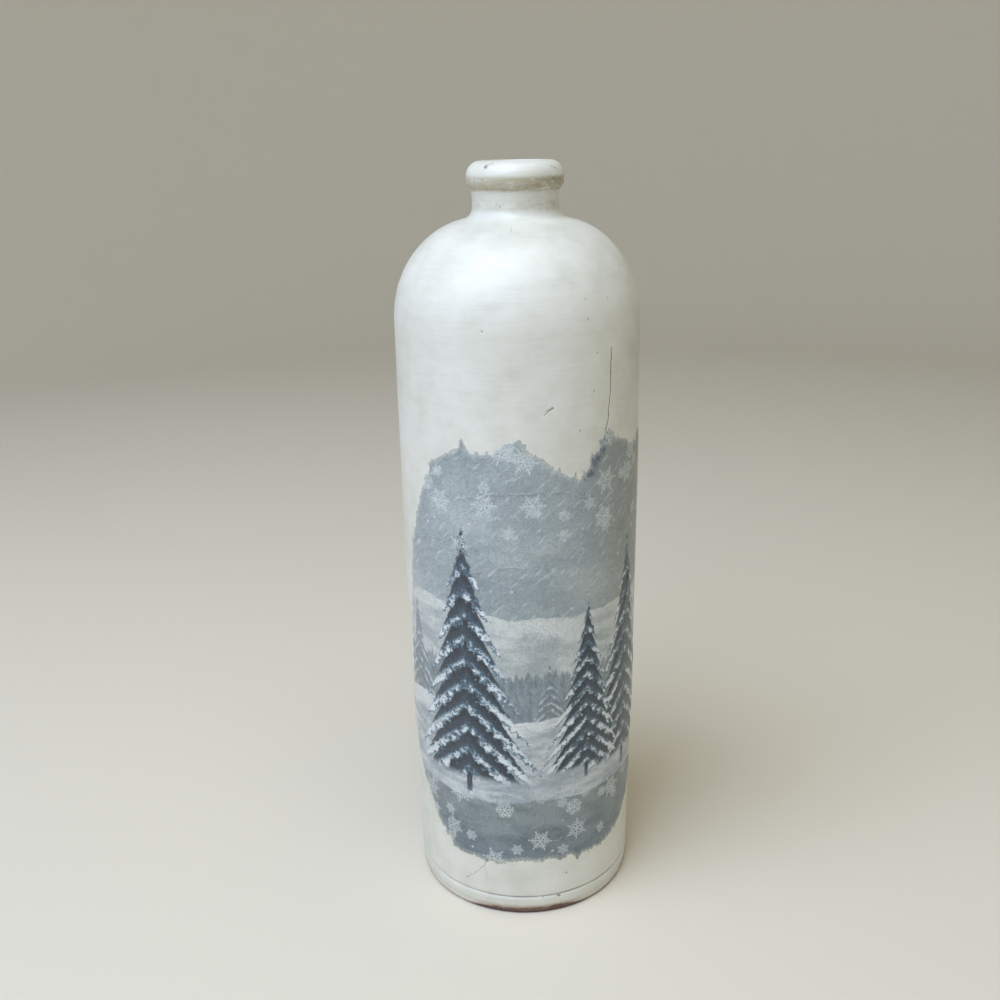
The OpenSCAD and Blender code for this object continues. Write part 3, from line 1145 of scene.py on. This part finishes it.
@dataclass
class ClayBody:
    """The foot plate that shows below the paint, and the solids that the coat and the glaze hide."""

    form: BottleForm
    steps: int = 180
    spacing: float = 0.8
    wire_depth: float = 0.22
    wire_pitch: float = 2.7
    wire_centre: Point = (26.0, 31.0)
    contact: float = 3.0
    dent: float = 0.16
    deepest_dent: float = 0.3

    def build(self, kit: FinishKit) -> list[bpy.types.Object]:
        """Makes the foot plate and dresses the other clay and glaze solids.

        Args:
            kit: The finishes.

        Returns:
            The pieces.
        """
        plate = self.foot_plate()
        Bench.finish(plate, kit.clay.foot(kit), Slot.CLAY, "foot_plate")
        clay, glaze = kit.clay.plain(kit), GlazeFinish().material(kit)
        hidden = {node: clay for node in ("wall_tube", "shoulder_dome", "neck", "lip_ring")}
        hidden["glaze_lining"] = glaze
        for name, material in hidden.items():
            materials = frame["nodes"][name].data.materials
            materials.clear()
            materials.append(material)
        return [plate] + [frame["nodes"][name] for name in hidden]

    def outline(self) -> list[Point]:
        """The plate's section: underside, worn edge, bead, groove and the spigot inside the wall."""
        form = self.form
        skin = form.paint_t
        edge_r = form.foot_r - skin - form.foot_round
        spigot_r = form.wall_radius(form.floor_t) - form.wall_t
        points = [(0.0, 0.0)] + arc((edge_r, form.foot_round), form.foot_round, -90, 0, 0.3)
        points += form.bead_line(skin)
        points += [(spigot_r, form.foot_h), (spigot_r, form.floor_t), (0.0, form.floor_t)]
        return filled(points, self.spacing)

    def foot_plate(self) -> bpy.types.Object:
        """Turns the plate, marks its underside with the cutting wire, and dents its side."""
        plate = Bench.turned("foot_clay", self.outline(), self.steps)
        places = Bench.places(plate)
        radius = np.hypot(places[:, 0], places[:, 1])
        edge = self.form.foot_r - self.form.paint_t - self.form.foot_round - self.contact
        under = (places[:, 2] < 0.01) * np.clip((edge - radius) / self.contact, 0, 1)
        places[:, 2] += under * self.wire_drags(places)
        side = (places[:, 2] > 0.2) & (places[:, 2] < self.form.foot_h - 1) & (radius > edge)
        dents = steady_noise(places, 2.4) + 0.4 * steady_noise(places, 0.9)
        dents = side * np.clip(dents * self.dent + self.dent / 4, 0, self.deepest_dent)
        Bench.put(plate, places - Bench.normals(plate) * dents[:, None])
        return plate

    def wire_drags(self, places: np.ndarray) -> np.ndarray:
        """How deep the cutting wire's curved drags are at each place of the underside."""
        drag = np.hypot(places[:, 0] - self.wire_centre[0], places[:, 1] - self.wire_centre[1])
        wave = 0.5 + 0.5 * np.sin(math.tau * drag / self.wire_pitch)
        return self.wire_depth * np.clip(wave * 0.7 + 0.3 + steady_noise(places, 3.1) * 0.4, 0, 1.3)


@dataclass
class PaintedCoat:
    """The coat of chalk paint over the whole outside, with its cracks, pits, chips and thin lower rim."""

    form: BottleForm
    hand: HandThrown
    steps: int = 240
    spacing: float = 1.4
    hidden_spacing: float = 9.0
    refined: tuple[float, ...] = (1.1, 1.1, 0.25)
    dome_share: float = 0.8
    rim_share: float = 0.15
    rim_rise: float = 2.6
    thrown_foot: float = 6.0
    thrown_top: float = 12.0
    pits: int = 34
    seed: int = 12
    drift_span: float = 1.9
    drift_starts: tuple[Trio, ...] = ((3.1, 7.7, 5.3), (11.4, 2.9, 8.6), (6.2, 13.5, 1.8))

    def marks(self) -> list[Mark]:
        """The marks on the front, and small pits scattered over the rest."""
        crack = ((45.9, 219.2), (45.5, 206.4), (43.8, 194.5), (41.3, 188.8), (40.8, 182.0))
        fork = ((41.3, 188.8), (42.9, 185.5), (43.3, 182.5))
        low_crack = ((-19.1, 24.5), (-21.5, 20.4), (-26.0, 16.5), (-32.8, 12.4))
        low_fork = ((-21.5, 20.4), (-20.0, 16.8), (-20.6, 14.2))
        kind = MarkKind
        marks = [
            Mark(kind.CRACK, crack, 0.34, 0.12, 0.4),
            Mark(kind.CRACK, fork, 0.28, 0.08, 0.4, 0.8),
            Mark(kind.CRACK, low_crack, 0.48, 0.04, 0.5, 0.5),
            Mark(kind.CRACK, low_fork, 0.4, 0.03, 0.5, 0.36),
            Mark(kind.CRACK, ((163.0, 236.0), (164.5, 225.0), (164.0, 214.0)), 0.26, 0.09, 0.4, 0.8),
            Mark(kind.PIT, ((11.4, 199.3), (13.1, 200.2)), 0.42, 0.1, 0.5, 0.8),
            Mark(kind.PIT, ((12.8, 200.3), (15.2, 201.5)), 0.62, 0.14, 0.6, 0.9),
            Mark(kind.PIT, ((-3.9, 256.8), (-3.3, 258.2)), 0.6, 0.06, 0.5, 0.55),
            Mark(kind.PIT, ((-14.9, 227.0),), 0.6, 0.18, 0.2),
            Mark(kind.PIT, ((37.2, 218.1),), 0.5, 0.15, 0.2),
            Mark(kind.PIT, ((35.7, 205.5),), 0.55, 0.15, 0.2),
            Mark(kind.PIT, ((32.0, 236.1),), 0.45, 0.12, 0.2),
            Mark(kind.PIT, ((61.2, 242.6),), 0.6, 0.15, 0.2),
            Mark(kind.PIT, ((22.5, 16.6),), 0.7, 0.18, 0.2),
            Mark(kind.CHIP, ((17.5, 7.2), (18.6, 7.0)), 0.8, 0.22, 0.3),
            Mark(kind.CHIP, ((-39.0, 277.2), (-37.2, 277.5)), 1.2, 0.18, 0.8),
            Mark(kind.CHIP, ((-36.6, 277.9), (-33.0, 278.2), (-30.0, 278.4)), 0.75, 0.06, 0.6, 0.62),
            Mark(kind.CHIP, ((50.0, 276.8), (56.0, 276.4), (62.0, 276.1)), 0.95, 0.06, 0.7, 0.5),
            Mark(kind.CHIP, ((-128.0, 276.5), (-124.0, 277.2)), 0.7, 0.18, 0.8),
        ]
        rng = random.Random(self.seed)
        for _ in range(self.pits):
            angle, z = rng.uniform(70, 290), rng.uniform(14, 244)
            half_width, depth = rng.uniform(0.35, 0.65), rng.uniform(0.08, 0.16)
            marks.append(Mark(kind.PIT, ((angle, z),), half_width, depth, 0.2))
        return marks

    def build(self, kit: FinishKit) -> list[bpy.types.Object]:
        """Turns the coat, refines it where it is marked, and gives it its relief.

        Args:
            kit: The finishes.

        Returns:
            The coat, as a list of one.
        """
        form = self.form
        outer = form.painted(0.0, self.spacing)
        inner = form.painted(form.paint_t, self.hidden_spacing)[::-1]
        inner = inner[:-1:3] + inner[-1:]
        closed = outer + inner + outer[:1]
        skin = [1.0] * len(outer) + [0.0] * len(inner) + [1.0]
        coat = Bench.turned("chalk_paint_coat", closed, self.steps, skin)
        marks = self.marks()
        for reach in self.refined:
            self.refine_near(coat, marks, reach)
        self.round_out(coat)
        self.relieve(coat, marks)
        Bench.finish(coat, kit.coat.material(kit), Slot.PAINT, "paint_coat")
        return [coat]

    def refine_near(self, coat: bpy.types.Object, marks: Sequence[Mark], reach: float) -> None:
        """Splits the outer faces whose middle is within reach of a mark's side."""
        centres = Bench.face_centres(coat)
        gaps = np.min([mark.gap(centres, self.form) - mark.half_width for mark in marks], axis=0)
        corners, starts = Bench.corners(coat)
        outer = np.minimum.reduceat(Bench.noted(coat, SKIN)[corners], starts) > 0.99
        Bench.refine(coat, (gaps < reach) & outer)

    def round_out(self, coat: bpy.types.Object) -> None:
        """Moves the split faces' new vertices out onto the true round of the wall and the shoulder."""
        places = Bench.places(coat)
        radius = np.hypot(places[:, 0], places[:, 1])
        z = places[:, 2]
        top = self.form.shoulder_z + self.dome_share * self.form.shoulder_rise
        on_wall = (Bench.noted(coat, SKIN) > 0.99) & (z > self.form.wall_z) & (z < top)
        scale = np.where(on_wall, self.form.reach(z) / np.maximum(radius, 1e-6), 1.0)
        places[:, :2] *= scale[:, None]
        Bench.put(coat, places)

    def relieve(self, coat: bpy.types.Object, marks: Sequence[Mark]) -> None:
        """Gives the outer surface its throwing, marks and thin rim, and notes the marks for the material."""
        form = self.form
        places, normals = Bench.places(coat), Bench.normals(coat)
        skin = Bench.noted(coat, SKIN)
        z = places[:, 2]
        thrown = self.hand.stray(places) * np.clip((z - form.wall_z) / self.thrown_foot, 0, 1)
        thrown *= np.clip((form.bottle_h - form.neck_h - z) / self.thrown_top, 0, 1)
        drifts = [steady_noise(places, self.drift_span, start) for start in self.drift_starts]
        shifts = np.stack(drifts, axis=1)
        shifts -= normals * (shifts * normals).sum(1)[:, None]
        masks = {kind: np.zeros(len(places)) for kind in MarkKind}
        sunk = np.zeros(len(places))
        for mark in marks:
            near = mark.nearness(places, shifts, form)
            masks[mark.kind] = np.maximum(masks[mark.kind], near)
            sunk = np.maximum(sunk, mark.depth * np.minimum(near * 1.6, 1))
        rise = np.clip((z - form.bare_foot_h) / self.rim_rise, 0, 1)
        thin = form.paint_t * (1 - self.rim_share) * (1 - rise) * (rise < 1)
        deepest = (self.rim_share - 1) * form.paint_t
        out = np.maximum(thrown - sunk - thin, deepest) * (skin > 0.5)
        Bench.put(coat, places + normals * out[:, None])
        for kind, mask in masks.items():
            Bench.note(coat, kind.value, mask)


@dataclass
class PaperPrint:
    """The thin paper pasted round the front, torn all round its edge."""

    EDGE = "edge"
    FOLD = "fold"

    form: BottleForm
    hand: HandThrown
    cell: float = 1.3
    margin: float = 2.0
    degree: float = 0.76
    tears: int = 3
    tear_depth: float = 0.9
    corner_turn: float = 137.0
    tear_turn: float = 211.0
    tatter_step: float = 0.45
    tatter: float = 0.95
    plume_z: float = 150.0
    plume_rise: float = 20.0
    plume: float = 1.8
    spike: float = 2.6
    spike_lean: float = 0.25
    bands: tuple[float, ...] = (1.9, 0.9)
    snap: float = 0.03
    sliver: float = 0.012
    trims: int = 4
    inner: float = 1.7
    crease_margin: float = 1.0
    crease_shift: float = 1.6
    crepe: float = 0.05
    crepe_line: float = 0.16
    wave: float = 0.03
    thickness: float = 0.1
    edge_lift: float = 0.04
    lift: float = 0.12
    lift_run: float = 2.4
    sunk: float = 0.06
    torn_edge: tuple[Point, ...] = (
        (-48, 175), (-42, 181), (-28, 188), (-17, 185), (0, 191), (7, 186), (14, 181), (28, 175), (34, 182),
        (43, 191), (53, 187), (66, 182), (78, 186), (90, 179), (98, 166), (101, 146), (104, 122), (101, 96),
        (103, 72), (96, 52), (84, 42), (72, 35), (60, 28), (48, 24), (30, 24), (12, 25), (-5, 24), (-22, 24),
        (-37, 24), (-44, 29), (-51, 36), (-60, 45), (-70, 57), (-78, 75), (-73, 95), (-70, 113), (-66, 131),
        (-62, 148), (-53, 165),
    )  # fmt: skip

    def torn_outline(self) -> list[Vector]:
        """The solid's own torn edge, in flat millimetres."""
        points = []
        for k, corner in enumerate(self.torn_edge):
            start, stop = Vector(corner), Vector(self.torn_edge[(k + 1) % len(self.torn_edge)])
            run = stop - start
            across = Vector((-run.y, run.x)).normalized()
            for j in range(self.tears):
                wander = self.tear_depth * math.sin(math.radians(self.corner_turn * k + self.tear_turn * j))
                point = start + run * (j / self.tears) + across * wander
                points.append(Vector((point.x * self.degree, point.y)))
        return points

    def tattered_outline(self) -> np.ndarray:
        """The torn edge with its fine tatters and spikes, one point a row."""
        outline = self.torn_outline()
        points = []
        for start, stop in zip(outline, outline[1:] + outline[:1]):
            run = stop - start
            across = Vector((-run.y, run.x)).normalized()
            steps = max(2, math.ceil(run.length / self.tatter_step))
            for i in range(steps):
                point = start + run * (i / steps)
                place = point.to_3d()
                ragged = noise.noise(place / 2.6) + 0.7 * noise.noise(place / 1.05)
                tall = 1 + self.plume * min(max((place.y - self.plume_z) / self.plume_rise, 0), 1)
                spike = max(0.0, noise.noise(place / 2.3 + Vector((5, 9, 2))) - 0.14) * tall
                spike += max(0.0, noise.noise(place / 0.95 + Vector((3, 6, 8))) - 0.1)
                upright = Vector((self.spike_lean * across.x, across.y)) * spike * self.spike
                points.append(point + across * ragged * self.tatter + upright)
        return np.array(points)

    @staticmethod
    def edge_gap(flat: np.ndarray, outline: np.ndarray) -> tuple[np.ndarray, np.ndarray]:
        """Measures places on the flat sheet against the torn edge.

        Args:
            flat: Places, one a row.
            outline: The closed outline's points.

        Returns:
            How far each place is from the edge, and its nearest point on the edge.
        """
        flat = flat[:, :2]
        tree = KDTree(len(outline))
        for i, (x, y) in enumerate(outline):
            tree.insert((x, y, 0), i)
        tree.balance()
        corner = np.array([tree.find((x, y, 0))[1] for x, y in flat])
        run = np.roll(outline, -1, axis=0) - outline
        best, nearest = np.full(len(flat), np.inf), np.zeros((len(flat), 2))
        for first in ((corner - 1) % len(outline), corner):
            share = ((flat - outline[first]) * run[first]).sum(1) / (run[first] ** 2).sum(1)
            foot = outline[first] + np.clip(share, 0, 1)[:, None] * run[first]
            gap = np.linalg.norm(flat - foot, axis=1)
            nearest = np.where((gap < best)[:, None], foot, nearest)
            best = np.minimum(gap, best)
        return best, nearest

    @staticmethod
    def inside(flat: np.ndarray, outline: np.ndarray) -> np.ndarray:
        """Which places on the flat sheet lie inside the torn edge, by counting the edges to their right."""
        block_size = 900
        following = np.roll(outline, -1, axis=0)
        rise = following[:, 1] - outline[:, 1]
        lean = (following[:, 0] - outline[:, 0]) / np.where(rise == 0, 1, rise)
        crossed = []
        for block in np.array_split(flat, max(1, len(flat) // block_size)):
            x, y = block[:, 0:1], block[:, 1:2]
            spans = (outline[:, 1] > y) != (following[:, 1] > y)
            crossed.append((spans & (x < outline[:, 0] + (y - outline[:, 1]) * lean)).sum(1))
        return np.concatenate(crossed) % 2 == 1

    def build(self, kit: FinishKit) -> list[bpy.types.Object]:
        """Tears a flat sheet to its outline, gives it thickness and creases, and wraps it round the wall.

        Args:
            kit: The finishes.

        Returns:
            The paper, as a list of one.
        """
        outline = self.tattered_outline()
        paper = self.flat_sheet(outline)
        self.tear(paper, outline)
        Bench.clear()
        bpy.context.view_layer.objects.active = paper
        paper.select_set(True)
        solid = paper.modifiers.new("Thickness", "SOLIDIFY")
        solid.thickness = self.thickness * MM
        solid.offset = -1
        bpy.ops.object.modifier_apply(modifier=solid.name)
        gap, _ = self.edge_gap(Bench.face_centres(paper), outline)
        self.refine_front(paper, gap > self.inner)
        shares = self.crease_shares(Bench.face_centres(paper), self.crease_margin)
        self.refine_front(paper, np.max([share for share, _ in shares], axis=0) > 0)
        self.wrap(paper, outline)
        Bench.finish(paper, PaperFinish().material(kit), Slot.PAPER, "paper_print")
        return [paper]

    def flat_sheet(self, outline: np.ndarray) -> bpy.types.Object:
        """A flat grid that covers the outline."""
        low, high = outline.min(0) - self.margin, outline.max(0) + self.margin
        wide, tall = high - low
        Bench.clear()
        count = [math.ceil(side / self.cell) for side in (wide, tall)]
        bpy.ops.mesh.primitive_grid_add(x_subdivisions=count[0], y_subdivisions=count[1], size=1)
        paper = bpy.context.object
        paper.name = paper.data.name = "printed_paper_sheet"
        middle = (low + high) / 2 * MM
        Bench.edit(
            paper,
            lambda: bpy.ops.mesh.select_all(action="SELECT"),
            lambda: bpy.ops.transform.resize(value=(wide * MM, tall * MM, 1)),
            lambda: bpy.ops.transform.translate(value=(middle[0], middle[1], 0)),
        )
        return paper

    def tear(self, paper: bpy.types.Object, outline: np.ndarray) -> None:
        """Refines the sheet along the outline, drops what lies outside, and draws its rim to the outline."""
        for band in self.bands:
            gap, _ = self.edge_gap(Bench.face_centres(paper), outline)
            Bench.refine(paper, gap < band)
        Bench.drop(paper, ~self.inside(Bench.face_centres(paper), outline))
        rim = np.unique(Bench.rim(paper))
        places = Bench.places(paper)
        _, places[rim, :2] = self.edge_gap(places[rim], outline)
        Bench.put(paper, places)
        Bench.merge(paper, self.snap)
        for _ in range(self.trims):
            Bench.drop(paper, self.slivers(paper))
            Bench.drop(paper, self.pinched(paper))
        middle = np.linalg.norm(Bench.face_centres(paper) - (*outline.mean(0), 0), axis=1)
        Bench.keep_linked(paper, middle == middle.min())

    def refine_front(self, paper: bpy.types.Object, chosen: np.ndarray) -> None:
        """Splits the chosen faces of the sheet's front, and merges what a split lays on an older vertex."""
        front = Bench.face_centres(paper)[:, 2] > -0.1 * self.thickness
        Bench.refine(paper, chosen & front)
        Bench.merge(paper, SAME)

    def slivers(self, paper: bpy.types.Object) -> np.ndarray:
        """Which faces of the flat sheet have next to no area, or are turned over."""
        corners, starts = Bench.corners(paper)
        following = np.arange(1, len(corners) + 1)
        following[np.append(starts[1:], len(corners)) - 1] = starts
        x, y = Bench.places(paper)[corners, :2].T
        area = np.add.reduceat(x * y[following] - x[following] * y, starts) / 2
        return area < self.sliver

    def pinched(self, paper: bpy.types.Object) -> np.ndarray:
        """Which faces meet the rest of the sheet at a point where its rim touches itself."""
        corners, starts = Bench.corners(paper)
        met = np.bincount(Bench.rim(paper).ravel(), minlength=len(paper.data.vertices)) > 2
        return np.maximum.reduceat(met[corners], starts)

    def creases(self) -> list[tuple[list[Point], float, float]]:
        """Long creases from the pasting: each is its (angle, height) points, its half width and its rise."""
        return [
            ([(-30.1, 168.6), (-8.5, 172.3), (18.2, 172.2), (39.2, 167.6)], 0.65, 0.34),
            ([(-66.9, 147.6), (-50.4, 151.9), (-39.7, 153.2)], 0.6, 0.28),
            ([(67.3, 137.2), (60.3, 123.3), (55.2, 104.4), (49.0, 85.5)], 0.65, 0.32),
            ([(-25.0, 141.0), (-12.0, 146.0), (3.0, 145.0)], 0.55, 0.22),
            ([(70.0, 60.0), (82.0, 74.0), (86.0, 96.0)], 0.6, 0.28),
            ([(-8.0, 38.0), (16.0, 33.0), (34.0, 36.0)], 0.55, 0.24),
            ([(-60.0, 70.0), (-48.0, 66.0), (-39.0, 69.0)], 0.55, 0.24),
            ([(18.0, 58.0), (29.0, 49.0), (47.0, 47.0)], 0.55, 0.22),
        ]

    def crease_shares(self, flat: np.ndarray, margin: float) -> list[tuple[np.ndarray, float]]:
        """How near places on the flat sheet are to each crease.

        Args:
            flat: Places in millimetres, one a row.
            margin: Added to each crease's half width.

        Returns:
            For each crease, a share a place, 1 on its line and 0 outside it, and the crease's rise.
        """
        sheet = flat * (1, 1, 0)
        shifts = np.stack([steady_noise(sheet, 4.0), steady_noise(sheet, 4.0, (9, 4, 1))], axis=1)
        shares = []
        for line, half_width, rise in self.creases():
            path = [(angle * self.degree, z) for angle, z in line]
            gap = line_gap(flat[:, :2] + shifts * self.crease_shift, path)
            shares.append((np.clip(1 - gap / (half_width + margin), 0, 1), rise))
        return shares

    def wrap(self, paper: bpy.types.Object, outline: np.ndarray) -> None:
        """Creases the front of the sheet, wraps it round the wall, and notes its edge and creases."""
        flat = Bench.places(paper)
        gap, _ = self.edge_gap(flat, outline)
        front = flat[:, 2] > -0.5 * self.thickness
        relief, fold = self.relief(flat)
        inwards = np.clip(gap / self.lift_run, 0, 1)
        out = self.edge_lift + self.lift * inwards * (2 - inwards) + relief * inwards
        out = np.where(front, out, -self.sunk)
        turn = np.radians(flat[:, 0] / self.degree)
        z = flat[:, 1]
        base = self.form.reach(z)
        skin = np.stack([base * np.sin(turn), -base * np.cos(turn), z], axis=1)
        scale = (base + out + self.hand.stray(skin)) / base
        Bench.put(paper, np.stack([skin[:, 0] * scale, skin[:, 1] * scale, z], axis=1))
        Bench.note(paper, self.EDGE, gap)
        Bench.note(paper, self.FOLD, fold)

    def relief(self, flat: np.ndarray) -> tuple[np.ndarray, np.ndarray]:
        """How far creases, crepe lines and waves lift each place of the sheet, and how much is crease."""
        sheet = flat * (1, 1, 0)
        broken = np.clip(0.8 + steady_noise(sheet, 6.0, (0, 0, 4 / 6)), 0.4, 1)
        relief, fold = np.zeros(len(flat)), np.zeros(len(flat))
        for near, rise in self.crease_shares(flat, 0.0):
            relief += rise * broken * near * near * (3 - 2 * near)
            fold = np.maximum(fold, near * broken)
        crepe = np.abs(steady_noise(sheet, (2.1, 4.4, 1.0), (0, 0, 3)))
        relief += self.crepe * np.clip(1 - crepe / self.crepe_line, 0, 1)
        return relief + self.wave * steady_noise(sheet, (7.5, 11.0, 1.0), (0, 0, 8)), fold


@dataclass(frozen=True)
class PhotoCamera:
    """A camera that looks down on the bottle as in the photograph.

    Its lens and sensor are in millimetres, its angles in degrees and its place in metres.
    """

    lens: float = 38.88
    sensor: float = 36.0
    pitch: float = 18.42
    yaw: float = -1.09
    roll: float = -1.15
    back: float = 0.3897
    height: float = 0.2855

    def build(self) -> bpy.types.Object:
        """Places the camera and makes it the scene's own."""
        pitch, yaw, roll = (math.radians(a) for a in (self.pitch, self.yaw, self.roll))
        ahead = Vector((math.sin(yaw) * math.cos(pitch), math.cos(yaw) * math.cos(pitch), -math.sin(pitch)))
        right = Vector((math.cos(yaw), -math.sin(yaw), 0))
        up = right.cross(ahead)
        across = right * math.cos(roll) + up * math.sin(roll)
        over = up * math.cos(roll) - right * math.sin(roll)
        bpy.ops.object.camera_add()
        camera = bpy.context.object
        camera.name = "Camera"
        camera.data.lens = self.lens
        camera.data.sensor_width = self.sensor
        turned = Matrix((across, over, -ahead)).transposed().to_4x4()
        camera.matrix_world = Matrix.Translation((0, -self.back, self.height)) @ turned
        camera.data.clip_start = 0.01
        bpy.context.scene.camera = camera
        return camera


@dataclass(frozen=True)
class Softbox:
    """A soft rectangular light that faces the middle of the bottle, with its sizes in metres."""

    name: str
    azimuth: float
    elevation: float
    distance: float
    size: Point
    watts: float
    colour: Trio

    def build(self, aim: Vector) -> bpy.types.Object:
        """Adds the light; azimuth 0 is in front of the bottle and 90 on its right."""
        turn, rise = math.radians(self.azimuth), math.radians(self.elevation)
        way = Vector((math.sin(turn) * math.cos(rise), -math.cos(turn) * math.cos(rise), math.sin(rise)))
        bpy.ops.object.light_add(type="AREA", location=aim + way * self.distance)
        light = bpy.context.object
        light.name = self.name
        light.rotation_euler = way.to_track_quat("Z", "Y").to_euler()
        light.data.shape = "RECTANGLE"
        light.data.size, light.data.size_y = self.size
        light.data.energy = self.watts
        light.data.color = self.colour
        light.visible_camera = False
        return light


@dataclass
class Studio:
    """A plain pale sweep, soft light from the upper left and from above, and the photograph's camera."""

    floor: str = "#e0d8c5"
    reach: float = 1750.0
    curve: float = 600.0
    tall: float = 1700.0
    curve_step: float = 80.0
    steps: int = 96
    aim_z: float = 0.14
    ambient: Trio = (1.04, 1.0, 0.9)
    ambient_strength: float = 0.08
    lights: tuple[Softbox, ...] = (
        Softbox("Key", -42.0, 52.0, 1.3, (1.1, 1.1), 15.0, (0.87, 1.03, 1.39)),
        Softbox("Top", 14.0, 76.0, 1.2, (0.9, 0.9), 5.5, (1.02, 1.0, 0.84)),
    )

    def build(self) -> None:
        """Builds the sweep, the lights, the world and the camera."""
        self.sweep()
        for light in self.lights:
            light.build(Vector((0, 0, self.aim_z)))
        world = bpy.data.worlds.new("Soft air")
        bpy.context.scene.world = world
        world.use_nodes = True
        air = world.node_tree.nodes["Background"]
        air.inputs["Color"].default_value = (*self.ambient, 1)
        air.inputs["Strength"].default_value = self.ambient_strength
        bpy.context.scene.view_settings.view_transform = "Standard"
        PhotoCamera().build()

    def sweep(self) -> None:
        """A round floor that turns up into a wall on every side."""
        turn = arc((self.reach - self.curve, self.curve), self.curve, -90, 0, self.curve_step)
        outline = [(0.0, 0.0), *turn, (self.reach, self.tall)]
        sweep = Bench.turned("Sweep", outline, self.steps)
        bpy.ops.object.shade_smooth()
        board = Board("Pale sweep").fix(roughness=0.9, base_color=shade(self.floor))
        sweep.data.materials.append(board.material)


def main() -> None:
    """Builds the studio and the bottle, and reports each piece."""
    logging.basicConfig(level=logging.INFO, format="%(name)s: %(message)s")
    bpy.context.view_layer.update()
    Studio().build()
    form = BottleForm.from_frame(frame["record"])
    hand = HandThrown()
    kit = FinishKit()
    for maker in (ClayBody(form), PaintedCoat(form, hand), PaperPrint(form, hand)):
        for piece in maker.build(kit):
            LOG.info("%s: %d faces", piece.name, len(piece.data.polygons))


if __name__ == "__main__":
    main()
